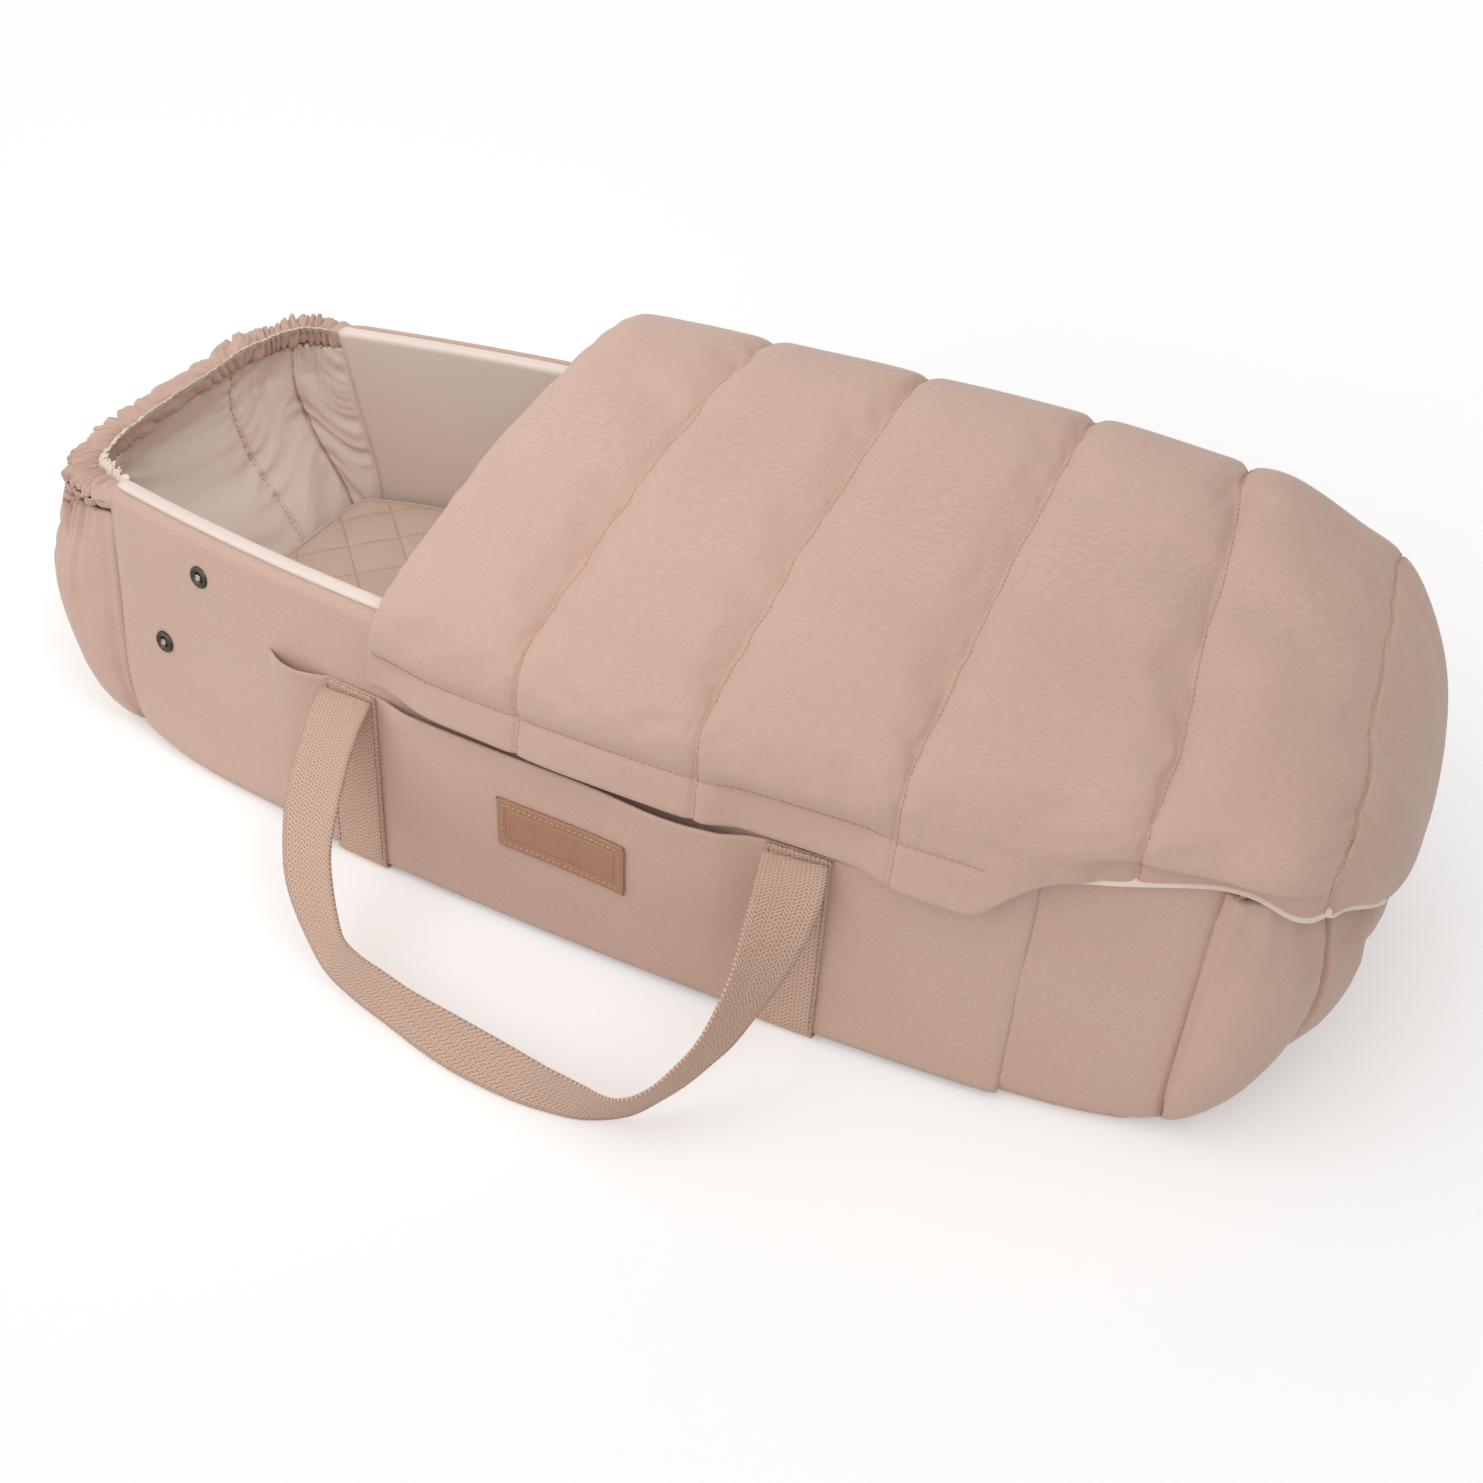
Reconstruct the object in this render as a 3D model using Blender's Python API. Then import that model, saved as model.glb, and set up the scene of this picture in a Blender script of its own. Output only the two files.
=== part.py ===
"""A soft carrycot: board-stiffened fabric sides, baffled elastic ends, a padded cover that folds back,
open pockets, and webbing that runs under the base and up into two loop handles.

Metres, +Z up, +X towards the foot end. The cot stands on its two base webs at Z = 0.
"""

import math

import bmesh
import bpy
from mathutils import Matrix, Vector

OBJECT_NAME = "carrycot"

# Side walls: plan and height
SIDE_LENGTH = 0.725
RIM_HEIGHT = 0.189
FLOOR_HALF_WIDTH = 0.185
RIM_HALF_WIDTH = 0.167
FLOOR_BOW = 0.0190
RIM_BOW = 0.0345
CORNER_TUCK = 0.016
CORNER_TUCK_HEIGHT = 0.070
CORNER_TUCK_POWER_SHARE = 10

# Side walls: layers
WALL_THICKNESS = 0.020
PANEL_THICKNESS = 0.004
LINING_THICKNESS = 0.003
SHOULDER_WIDTH = 0.008
SHOULDER_RADIUS = 0.006
LINING_RADIUS = 0.004
SEAT_GAP = 0.0003
SOFT_GAP = 0.0006

# Base
WEB_THICKNESS = 0.002
BOTTOM_THICKNESS = 0.003
BOARD_THICKNESS = 0.004
BOARD_CLEARANCE = 0.0045

# Baffled ends: plan depth past the side walls, as (floor, rim, belly)
HEAD_FLOOR_DEPTH = 0.026
HEAD_RIM_DEPTH = 0.052
HEAD_BELLY = 0.036
HEAD_BELLY_SHARE = 1.4
HEAD_ROUND_SHARES = (0.60, 0.60)
FOOT_FLOOR_DEPTH = 0.016
FOOT_RIM_DEPTH = 0.034
FOOT_BELLY = 0.034
FOOT_BELLY_SHARE = 0.9
FOOT_ROUND_SHARES = (1.00, 0.60)
END_PUFF = 0.006
END_LINING_PUFF = 0.006
END_TOP_HALF_THICKNESS = 0.0090
END_SOLE_HALF_THICKNESS = 0.0030
END_SOLE_ROUND = 0.035
BAFFLE_ANGLE_SHARES = (0, 0.28, 0.427, 0.573, 0.72, 1)
BAFFLE_CELL_SHARES = (0, 0.12, 0.35, 0.65, 0.88, 1)
END_LEVEL_SHARES = (0, 0.05, 0.13, 0.28, 0.48, 0.68, 0.84, 0.94, 1)
PUFF_TOP_SHARE = 0.84

# Elastic casings
CASING_HALF_WIDTH = 0.0098
CASING_HALF_HEIGHT = 0.0088
CASING_GATHER = 0.0016
CASING_GATHERS = 15
CASING_CELLS_PER_GATHER = 3
CASING_SIDES = 6
CASING_BORE_HALF_WIDTH = 0.0015
CASING_BORE_HALF_HEIGHT = 0.0055
CASING_SQUARE_SHARE = 0.5
ELASTIC_THICKNESS = 0.0012
ELASTIC_WIDTH = 0.008
ELASTIC_CELLS = 24

# Mattress
MATTRESS_THICKNESS = 0.030
MATTRESS_PLAN_LEVEL = 0.015
MATTRESS_CLEARANCE = 0.0045
MATTRESS_EDGE = 0.005
MATTRESS_CROWN = 0.004
MATTRESS_CROWN_SHARES = (0.84, 0.62)
PIPING_RADIUS = 0.0022
PIPING_GAP = 0.0024

# Webbing and handles
WEB_WIDTH = 0.038
WEB_SPREAD = 0.150
HANDLE_REACH = 0.122
HANDLE_DROP = 0.1115
HANDLE_CELLS_PER_STATION = 5

# Pockets
POCKET_BELOW_RIM = 0.055
POCKET_SLIT_LENGTH = 0.051
POCKET_FOOT_SETBACK = 0.0845
POCKET_THICKNESS = 0.0016
POCKET_SLACK = 0.0105
POCKET_SLIT_SLACK = 0.006
POCKET_RAMP = 0.028
POCKET_RAMP_SHARES = (0.3, 0.7, 1)
POCKET_MIDDLE_SHARES = (-0.66, -0.33, 0, 0.33, 0.66)
POCKET_FLAT_SHARES = (0.33, 0.66, 1)

# Leather patch
PATCH_WIDTH = 0.088
PATCH_HEIGHT = 0.036
PATCH_THICKNESS = 0.0018
PATCH_CENTRE_X = 0.004
PATCH_CENTRE_Z = 0.084

# Press studs
SNAP_RADIUS = 0.0075
SNAP_HEIGHT = 0.0020
SNAP_BORE_RADIUS = 0.0042
SNAP_EDGE = 0.0007
SNAP_STEPS = 16
STUD_RADIUS = 0.0036
STUD_HEIGHT = 0.0026
STUD_DIMPLE_RADIUS = 0.0016
STUD_DIMPLE_DEPTH = 0.0010
STUD_EDGE = 0.0006
SNAP_UPPER_SETBACK = 0.0855
SNAP_UPPER_BELOW_RIM = 0.027
SNAP_LOWER_SETBACK = 0.0445
SNAP_LOWER_BELOW_RIM = 0.090

# Cover
COVER_HEAD_EDGE = -0.132
COVER_SEAM_1 = -0.016
COVER_SEAM_2 = 0.094
COVER_SEAM_3 = 0.204
COVER_FOLD_SEAM = 0.298
COVER_SEAM_5 = 0.392
COVER_CROWN = 0.063
COVER_FOOT_FALL = 0.004
COVER_THICKNESS = 0.022
COVER_OVERHANG = 0.012
COVER_BORDER_THICKNESS = 0.0055
COVER_PINCH = 0.006
COVER_SHOULDER_DROP = 0.012
COVER_SQUARE_SHARE = 0.68
COVER_ROUND_SHARE = 0.60
FLAP_DROP = 0.050
FLAP_TAB_DROP = 0.068
FLAP_TAB_X = 0.242
FLAP_TAB_LENGTH = 0.020
COVER_EDGE_DROP = 0.026
COVER_EDGE_START = 0.276
COVER_HEAD_RISE = 0.003
FOLD_CLEARANCE = 0.0058
FOLD_CLEARANCE_REACH = 0.150
COVER_END_DEPTH = 0.062
COVER_END_SPAN_SHARE = 0.31
CHANNEL_CELL_SHARES = (0, 0.1, 0.3, 0.5, 0.7, 0.9, 1)
ARCH_CELLS = 6
FLAP_CELLS = 3

SIDE_CELLS = 16
END_CELLS = 16
FRAME_SHIFT = 0.010
HALF_SIDE = SIDE_LENGTH / 2
POCKET_HEM = RIM_HEIGHT - POCKET_BELOW_RIM
POCKET_HEAD_END = -(WEB_SPREAD + WEB_WIDTH / 2 + POCKET_SLIT_LENGTH)
POCKET_FOOT_END = HALF_SIDE - POCKET_FOOT_SETBACK
BOTTOM_UNDERSIDE = WEB_THICKNESS + SEAT_GAP
BOTTOM_TOP = BOTTOM_UNDERSIDE + BOTTOM_THICKNESS
WALL_FOOT = BOTTOM_TOP + SEAT_GAP
END_TOP = RIM_HEIGHT - 2 * CASING_HALF_HEIGHT
CASING_CENTRE = END_TOP + SEAT_GAP + CASING_HALF_HEIGHT
COVER_SEAT = RIM_HEIGHT + SOFT_GAP
COVER_VERTICAL = RIM_HEIGHT - COVER_SHOULDER_DROP
CROWN_LEVEL = RIM_HEIGHT + COVER_CROWN

# Centre line and width direction of one handle, from its head-end leg round to its foot-end leg:
# along the cot, outward, and up, as shares of the web spread, the reach and the drop, then the
# direction across the webbing as shares of its width.
HANDLE_STATION_shares = (
    (-1.00, 0.00, 1.00, 1.00, 0.00, 0.00),
    (-1.00, 0.15, 0.86, 0.99, 0.04, 0.12),
    (-0.96, 0.38, 0.67, 0.95, 0.18, 0.24),
    (-0.86, 0.65, 0.42, 0.85, 0.17, 0.50),
    (-0.66, 0.85, 0.12, 0.50, 0.05, 0.86),
    (-0.38, 0.92, 0.02, 0.12, 0.12, 0.98),
    (0.03, 0.99, 0.00, 0.01, 0.26, 0.96),
    (0.44, 1.00, 0.00, 0.06, 0.00, 1.00),
    (0.71, 0.92, 0.02, 0.08, -0.46, 0.88),
    (0.90, 0.68, 0.24, -0.14, -0.70, 0.70),
    (1.00, 0.42, 0.56, -0.45, -0.70, 0.55),
    (1.02, 0.17, 0.84, -0.86, -0.40, 0.30),
    (1.00, 0.00, 1.00, -1.00, 0.00, 0.00),
)


def lerp(low, high, share):
    return low + (high - low) * share


def smooth(share):
    share = min(max(share, 0.0), 1.0)
    return share * share * (3 - 2 * share)


def signed_power(value, power):
    return math.copysign(abs(value) ** power, value)


def half_width(x, z):
    """Outer half width of the side walls, which bow outwards and lean in towards the rim."""
    rise, along = z / RIM_HEIGHT, min(abs(x) / HALF_SIDE, 1)
    bow = lerp(FLOOR_BOW, RIM_BOW, rise)
    low = max(1 - z / CORNER_TUCK_HEIGHT, 0) ** 2
    tuck = CORNER_TUCK * low * along ** CORNER_TUCK_POWER_SHARE
    return lerp(FLOOR_HALF_WIDTH, RIM_HALF_WIDTH, rise) - bow * along ** 2 - tuck


def end_depth(end, z):
    """How far the middle of an end's wall stands out past the side walls."""
    rise = z / RIM_HEIGHT
    if end < 0:
        belly = HEAD_BELLY * math.sin(math.pi * rise ** HEAD_BELLY_SHARE)
        return lerp(HEAD_FLOOR_DEPTH, HEAD_RIM_DEPTH, rise) + belly
    belly = FOOT_BELLY * math.sin(math.pi * rise ** FOOT_BELLY_SHARE)
    return lerp(FOOT_FLOOR_DEPTH, FOOT_RIM_DEPTH, rise) + belly


def end_round(end, z):
    """Exponent of an end's plan curve: 1 is an ellipse, less is squarer."""
    return lerp(*(HEAD_ROUND_SHARES if end < 0 else FOOT_ROUND_SHARES), z / RIM_HEIGHT)


def end_point(end, angle, z, offset):
    """A point of an end's wall: end is -1 at the head and 1 at the foot, offset is outward."""
    middle = half_width(HALF_SIDE, z) - WALL_THICKNESS / 2
    stand = max(end_depth(end, z) + offset, SOFT_GAP)
    x = HALF_SIDE + SOFT_GAP + stand * max(math.cos(angle), 0.0) ** end_round(end, z)
    y = (middle + offset) * signed_power(math.sin(angle), end_round(end, z))
    return Vector((end * x, y, z))


def outline(inset, z, level=None, end_inset=0):
    """Plan outline at one height, inwards by inset from the outer faces of the walls at that level."""
    level = level or z
    points = []
    for end in (-1, 1):
        angles = [math.pi * (step / END_CELLS - 0.5) for step in range(END_CELLS + 1)]
        for angle in angles if end > 0 else reversed(angles):
            place = end_point(end, angle, level, WALL_THICKNESS / 2 - inset - end_inset)
            points.append(Vector((place.x, place.y, z)))
        for step in range(1, SIDE_CELLS):
            x = end * lerp(HALF_SIDE, -HALF_SIDE, step / SIDE_CELLS)
            points.append(Vector((x, end * (half_width(x, level) - inset), z)))
    return points


def make_material(name, colour, roughness, metallic=0.0):
    material = bpy.data.materials.new(name)
    material.use_nodes = True
    shader = material.node_tree.nodes["Principled BSDF"]
    shader.inputs["Base Color"].default_value = (*colour, 1)
    shader.inputs["Roughness"].default_value = roughness
    shader.inputs["Metallic"].default_value = metallic
    material.diffuse_color = (*colour, 1)
    return material


def add_object(name, bm, material, pivot=None):
    """Turns a bmesh in world coordinates into an object, hung on its pivot empty if it has one."""
    bmesh.ops.recalc_face_normals(bm, faces=bm.faces)
    if bm.calc_volume(signed=True) < 0:
        bmesh.ops.reverse_faces(bm, faces=bm.faces)
    shift = centred - (pivot.location if pivot else Vector())
    bmesh.ops.translate(bm, verts=bm.verts, vec=shift)
    mesh = bpy.data.meshes.new(name)
    bm.to_mesh(mesh)
    bm.free()
    mesh.materials.append(material)
    mesh.shade_smooth()
    mesh.set_sharp_from_angle(angle=math.radians(35))
    piece = bpy.data.objects.new(name, mesh)
    collection.objects.link(piece)
    piece.parent = pivot
    return piece


def add_pivot(name, place):
    pivot = bpy.data.objects.new(name, None)
    pivot.location = place + centred
    collection.objects.link(pivot)
    return pivot


def split_quads(bm):
    """Cuts every quad along the same diagonal, so that facing layers have matching facets."""
    for face in [face for face in bm.faces if len(face.verts) == 4]:
        corners = sorted(face.verts, key=lambda vert: round(sum(vert.co), 6))
        bmesh.utils.face_split(face, corners[0], corners[-1])


def shaped_block(name, material, u_shares, v_shares, place, pivot=None, ring=False):
    """Cuts a unit cube across at the given shares and moves its corners with place(u, v, w).

    A ring is closed round v: its two ends there are opened and joined to each other.
    """
    bm = bmesh.new()
    bmesh.ops.create_cube(bm, size=1, matrix=Matrix.Translation((0.5, 0.5, 0.5)))
    for normal, shares in ((Vector((1, 0, 0)), u_shares), (Vector((0, 1, 0)), v_shares)):
        for share in shares:
            if 0 < share < 1:
                geometry = bm.verts[:] + bm.edges[:] + bm.faces[:]
                bmesh.ops.bisect_plane(bm, geom=geometry, plane_co=normal * share, plane_no=normal)
    if ring:
        ends = [face for face in bm.faces if abs(face.normal.y) > 0.5]
        bmesh.ops.delete(bm, geom=ends, context="FACES")
    split_quads(bm)
    for vert in bm.verts:
        vert.co = place(*vert.co)
    if ring:
        bmesh.ops.remove_doubles(bm, verts=bm.verts, dist=SEAT_GAP / 10)
    return add_object(name, bm, material, pivot)


def lofted(name, material, rings, pivot=None):
    """A closed solid through flat rings of equally many points, listed from the lowest to the highest."""
    bm = bmesh.new()
    loops = [[bm.verts.new(point) for point in ring] for ring in rings]
    bm.faces.new(reversed(loops[0]))
    bm.faces.new(loops[-1])
    for low, high in zip(loops, loops[1:]):
        for index in range(len(low)):
            bm.faces.new((low[index - 1], low[index], high[index], high[index - 1]))
    return add_object(name, bm, material, pivot)


def raised(points, height, along_share=1, across_share=1):
    return [Vector((point.x * along_share, point.y * across_share, height)) for point in points]


def even_shares(cells):
    return [step / cells for step in range(cells + 1)]


def cell_shares(bounds, shares):
    """Stations between each pair of bounds, crowded towards the bounds as the shares say."""
    stations = []
    for low, high in zip(bounds, bounds[1:]):
        stations += [lerp(low, high, share) for share in shares[:-1]]
    return stations + [bounds[-1]]


def puff(stations, value):
    """0 on a seam and 1 in the middle between two seams."""
    for low, high in zip(stations, stations[1:]):
        if value <= high:
            return 1 - abs(2 * (value - low) / (high - low) - 1) ** 2.6
    return 0.0


def make_base(fabric, board):
    sole = outline(0, BOTTOM_UNDERSIDE, end_inset=WALL_THICKNESS / 2 - END_SOLE_HALF_THICKNESS)
    lofted("bottom_panel", fabric, [sole, raised(sole, BOTTOM_TOP)])
    sheet = outline(WALL_THICKNESS + BOARD_CLEARANCE, WALL_FOOT)
    lofted("base_board", board, [sheet, raised(sheet, WALL_FOOT + BOARD_THICKNESS)])


def wall_rails():
    """Sections of the three layers of a side wall, as pairs of (depth, height) on their two faces."""
    levels = [lerp(WALL_FOOT, RIM_HEIGHT - SHOULDER_RADIUS, step / 4) for step in range(5)]
    rim, slant = RIM_HEIGHT, math.sqrt(0.5)
    panel = [((0, z), (PANEL_THICKNESS, z)) for z in levels]
    arc_depth = SHOULDER_RADIUS * (1 - slant)
    under = rim - PANEL_THICKNESS
    panel.append(((arc_depth, rim - arc_depth), (PANEL_THICKNESS, under)))
    panel.append(((SHOULDER_RADIUS, rim), (SHOULDER_RADIUS, under)))
    panel.append(((SHOULDER_WIDTH, rim), (SHOULDER_WIDTH, under)))

    back = WALL_THICKNESS - LINING_THICKNESS
    lining = [((WALL_THICKNESS, z), (back, z)) for z in levels]
    arc_depth = LINING_RADIUS * (1 - slant)
    under = rim - LINING_THICKNESS
    lining.append(((WALL_THICKNESS - arc_depth, rim - arc_depth), (back, under)))
    lining.append(((WALL_THICKNESS - LINING_RADIUS, rim), (WALL_THICKNESS - LINING_RADIUS, under)))
    lining.append(((SHOULDER_WIDTH + SEAT_GAP, rim), (SHOULDER_WIDTH + SEAT_GAP, under)))

    outer, inner = PANEL_THICKNESS + SEAT_GAP, back - SEAT_GAP
    core = [((outer, z), (inner, z)) for z in levels]
    top = rim - PANEL_THICKNESS - SEAT_GAP
    core.append(((outer, top), (inner, top)))
    return {"panel": panel, "lining": lining, "core": core}


def make_sides(fabric, lining, foam):
    looks = {"panel": fabric, "lining": lining, "core": foam}
    for side, word in ((-1, "near"), (1, "far")):
        for layer, rails in wall_rails().items():
            def place(u, v, w, side=side, rails=rails):
                depth, z = rails[round(v * (len(rails) - 1))][round(w)]
                x = lerp(-HALF_SIDE, HALF_SIDE, u)
                return Vector((x, side * (half_width(x, z) - depth), z))
            shaped_block(f"side_{layer}_{word}", looks[layer], even_shares(SIDE_CELLS),
                         even_shares(len(rails) - 1), place)


def end_half_thickness(z):
    """Half the wall of an end, drawn in towards the elastic casing."""
    drawn = smooth((z / END_TOP - PUFF_TOP_SHARE) / (1 - PUFF_TOP_SHARE))
    return lerp(WALL_THICKNESS / 2, END_TOP_HALF_THICKNESS, drawn)


def end_outer_thickness(z):
    """The outer half of an end's wall, which also rounds under towards the sole."""
    rounded = max(1 - (z - WALL_FOOT) / END_SOLE_ROUND, 0)
    return lerp(END_SOLE_HALF_THICKNESS, end_half_thickness(z), math.sqrt(1 - rounded ** 2))


def end_swell(share, z):
    """Swelling of a baffle, none on its seams, at the floor or under the gathered rim."""
    rise = min(z / (END_TOP * PUFF_TOP_SHARE), 1)
    return puff(BAFFLE_ANGLE_SHARES, share) * max(math.sin(math.pi * rise), 0) ** 0.8


def make_ends(fabric, lining, elastic):
    stations = cell_shares(BAFFLE_ANGLE_SHARES, BAFFLE_CELL_SHARES)
    for end, word in ((-1, "head"), (1, "foot")):
        def outer(u, v, w, end=end):
            z = lerp(WALL_FOOT, END_TOP, v)
            swell = END_PUFF * end_swell(u, z)
            offset = lerp(SOFT_GAP / 2, end_outer_thickness(z) + swell, w)
            return end_point(end, math.pi * (u - 0.5), z, offset)

        def inner(u, v, w, end=end):
            z = lerp(WALL_FOOT, END_TOP, v)
            swell = END_LINING_PUFF * end_swell(u, z)
            offset = lerp(-SOFT_GAP / 2, -end_half_thickness(z) - swell, w)
            return end_point(end, math.pi * (u - 0.5), z, offset)

        def casing(u, v, w, end=end):
            wave = CASING_GATHER * math.sin(math.pi * CASING_GATHERS * u) ** 2
            half_across = lerp(CASING_BORE_HALF_WIDTH, CASING_HALF_WIDTH - wave, w)
            half_up = lerp(CASING_BORE_HALF_HEIGHT, CASING_HALF_HEIGHT - wave, w)
            turn = 2 * math.pi * v
            across = half_across * signed_power(math.cos(turn), CASING_SQUARE_SHARE)
            up = half_up * signed_power(math.sin(turn), CASING_SQUARE_SHARE)
            point = end_point(end, math.pi * (u - 0.5), CASING_CENTRE, across)
            point.z += up
            return point

        def tape(u, v, w, end=end):
            point = end_point(end, math.pi * (u - 0.5), CASING_CENTRE, ELASTIC_THICKNESS * (w - 0.5))
            point.z += ELASTIC_WIDTH * (v - 0.5)
            return point

        shaped_block(f"{word}_end_outer", fabric, stations, END_LEVEL_SHARES, outer)
        shaped_block(f"{word}_end_lining", lining, stations, END_LEVEL_SHARES, inner)
        shaped_block(f"{word}_casing", lining, even_shares(CASING_GATHERS * CASING_CELLS_PER_GATHER),
                     even_shares(CASING_SIDES), casing, ring=True)
        shaped_block(f"{word}_elastic", elastic, even_shares(ELASTIC_CELLS), even_shares(1), tape)


def make_mattress(cloth, piping):
    underside = WALL_FOOT + BOARD_THICKNESS + SEAT_GAP
    level = underside + MATTRESS_THICKNESS
    piping_inset = WALL_THICKNESS + MATTRESS_CLEARANCE + PIPING_RADIUS
    inset = piping_inset + PIPING_RADIUS + PIPING_GAP
    sole = outline(inset, level, MATTRESS_PLAN_LEVEL)
    edge = outline(inset + MATTRESS_EDGE, level, MATTRESS_PLAN_LEVEL)
    lofted("mattress", cloth, [
        raised(sole, underside), raised(sole, level - MATTRESS_EDGE), raised(edge, level),
        raised(edge, level + MATTRESS_CROWN, *MATTRESS_CROWN_SHARES)])

    curve = bpy.data.curves.new("mattress_piping", "CURVE")
    curve.dimensions = "3D"
    curve.bevel_depth = PIPING_RADIUS
    curve.bevel_resolution = 1
    ring = outline(piping_inset, level - MATTRESS_EDGE - PIPING_RADIUS, MATTRESS_PLAN_LEVEL)
    spline = curve.splines.new("POLY")
    spline.points.add(len(ring) - 1)
    spline.use_cyclic_u = True
    for point, place in zip(spline.points, ring):
        point.co = (*(place + centred), 1)
    curve.materials.append(piping)
    tube = bpy.data.objects.new("mattress_piping", curve)
    collection.objects.link(tube)


def pocket_slack(x, z):
    """How far the pocket's cloth stands off the wall: flat at the webs and the base, loose between."""
    height = max((z - WALL_FOOT) / (POCKET_HEM - WALL_FOOT), 0) ** 0.6
    web_edge = WEB_SPREAD - WEB_WIDTH / 2
    between = smooth((web_edge - abs(x)) / POCKET_RAMP)
    slit_start = WEB_SPREAD + WEB_WIDTH / 2
    slit = math.sin(math.pi * min(max((-x - slit_start) / (-POCKET_HEAD_END - slit_start), 0), 1))
    return height * (POCKET_SLACK * between + POCKET_SLIT_SLACK * slit * height ** 3)


def on_wall(side, x, z, offset):
    return Vector((x, side * (half_width(x, z) + offset), z))


def make_pockets(fabric):
    web_inner, web_outer = WEB_SPREAD - WEB_WIDTH / 2, WEB_SPREAD + WEB_WIDTH / 2
    ramp = [web_inner - POCKET_RAMP * share for share in POCKET_RAMP_SHARES]
    middle = [ramp[-1] * share for share in POCKET_MIDDLE_SHARES]
    places = [POCKET_HEAD_END, lerp(POCKET_HEAD_END, -web_outer, 0.5), -web_outer, -web_inner]
    places += [-x for x in ramp] + middle + ramp[::-1] + [web_inner, web_outer]
    places += [lerp(web_outer, POCKET_FOOT_END, share) for share in POCKET_FLAT_SHARES]
    shares = [(x - POCKET_HEAD_END) / (POCKET_FOOT_END - POCKET_HEAD_END) for x in places]
    for side, word in ((-1, "near"), (1, "far")):
        def place(u, v, w, side=side):
            x = lerp(POCKET_HEAD_END, POCKET_FOOT_END, u)
            z = lerp(WALL_FOOT, POCKET_HEM, v)
            return on_wall(side, x, z, SOFT_GAP + pocket_slack(x, z) + w * POCKET_THICKNESS)
        shaped_block(f"pocket_{word}", fabric, shares, even_shares(6), place)


def make_patch(leather):
    def place(u, v, w):
        x = PATCH_CENTRE_X + PATCH_WIDTH * (u - 0.5)
        z = PATCH_CENTRE_Z + PATCH_HEIGHT * (v - 0.5)
        stand = 2 * SOFT_GAP + pocket_slack(x, z) + POCKET_THICKNESS
        return on_wall(-1, x, z, stand + w * PATCH_THICKNESS)
    shaped_block("leather_patch", leather, even_shares(4), even_shares(2), place)


def web_offset():
    """Distance from the side wall to the inner face of the sewn webbing."""
    return 2 * SOFT_GAP + POCKET_THICKNESS


def make_webbing(webbing):
    for end, place_word in ((-1, "head"), (1, "foot")):
        def on_base(u, v, w, end=end):
            x = end * WEB_SPREAD + WEB_WIDTH * (u - 0.5)
            reach = half_width(x, WALL_FOOT) + web_offset() + WEB_THICKNESS
            return Vector((x, reach * (2 * v - 1), WEB_THICKNESS * w))
        shaped_block(f"base_web_{place_word}", webbing, even_shares(2), even_shares(8), on_base)
        for side, word in ((-1, "near"), (1, "far")):
            def on_side(u, v, w, side=side, end=end):
                x = end * WEB_SPREAD + WEB_WIDTH * (u - 0.5)
                z = lerp(BOTTOM_UNDERSIDE, POCKET_HEM, v)
                return on_wall(side, x, z, web_offset() + WEB_THICKNESS * w)
            shaped_block(f"side_web_{place_word}_{word}", webbing, even_shares(2), even_shares(6), on_side)


def handle_axis(side):
    """The fold of the webbing at the pocket's hem, which the handle swings about."""
    x = WEB_SPREAD - WEB_WIDTH / 2
    z = POCKET_HEM - WEB_THICKNESS
    y = half_width(x, z) + web_offset() + WEB_THICKNESS + SEAT_GAP + WEB_THICKNESS / 2
    return Vector((0, side * y, z))


def handle_frame(side, along):
    """Centre, across and tangent of a handle at a place along its stations, by Catmull-Rom."""
    last = len(HANDLE_STATION_shares) - 1
    index = min(int(along), last - 1)
    t = along - index
    rows = [HANDLE_STATION_shares[min(max(index + step, 0), last)] for step in (-1, 0, 1, 2)]
    blend, slope = [], []
    for a, b, c, d in zip(*rows):
        blend.append(b + 0.5 * t * (c - a + t * (2 * a - 5 * b + 4 * c - d + t * (3 * (b - c) + d - a))))
        slope.append(0.5 * (c - a + t * (4 * a - 10 * b + 8 * c - 2 * d + 3 * t * (3 * (b - c) + d - a))))
    axis = handle_axis(side)
    centre = Vector((blend[0] * WEB_SPREAD, axis.y + side * blend[1] * HANDLE_REACH,
                     axis.z - (1 - blend[2]) * HANDLE_DROP))
    tangent = Vector((slope[0] * WEB_SPREAD, side * slope[1] * HANDLE_REACH, slope[2] * HANDLE_DROP))
    tangent.normalize()
    across = Vector((blend[3], -side * blend[4], blend[5]))
    across -= tangent * across.dot(tangent)
    across.normalize()
    return centre, across, tangent


def make_handles(webbing):
    last = len(HANDLE_STATION_shares) - 1
    cells = last * HANDLE_CELLS_PER_STATION
    half = WEB_THICKNESS / 2
    # Two extra rows at each end round off the fold
    rows = [(0, -half, 0.2), (0, -half * 0.8, 0.7)] + [(step / cells * last, 0, 1) for step in range(cells + 1)]
    rows += [(last, half * 0.8, 0.7), (last, half, 0.2)]
    for side, word in ((-1, "near"), (1, "far")):
        pivot = add_pivot(f"handle_{word}_axis", handle_axis(side))

        def place(u, v, w, side=side):
            along, past, thin = rows[round(u * (len(rows) - 1))]
            centre, across, tangent = handle_frame(side, along)
            facing = tangent.cross(across)
            return (centre + tangent * past + across * WEB_WIDTH * (v - 0.5)
                    + facing * WEB_THICKNESS * thin * (w - 0.5))
        shaped_block(f"handle_{word}", webbing, even_shares(len(rows) - 1), even_shares(2), place, pivot)


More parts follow.
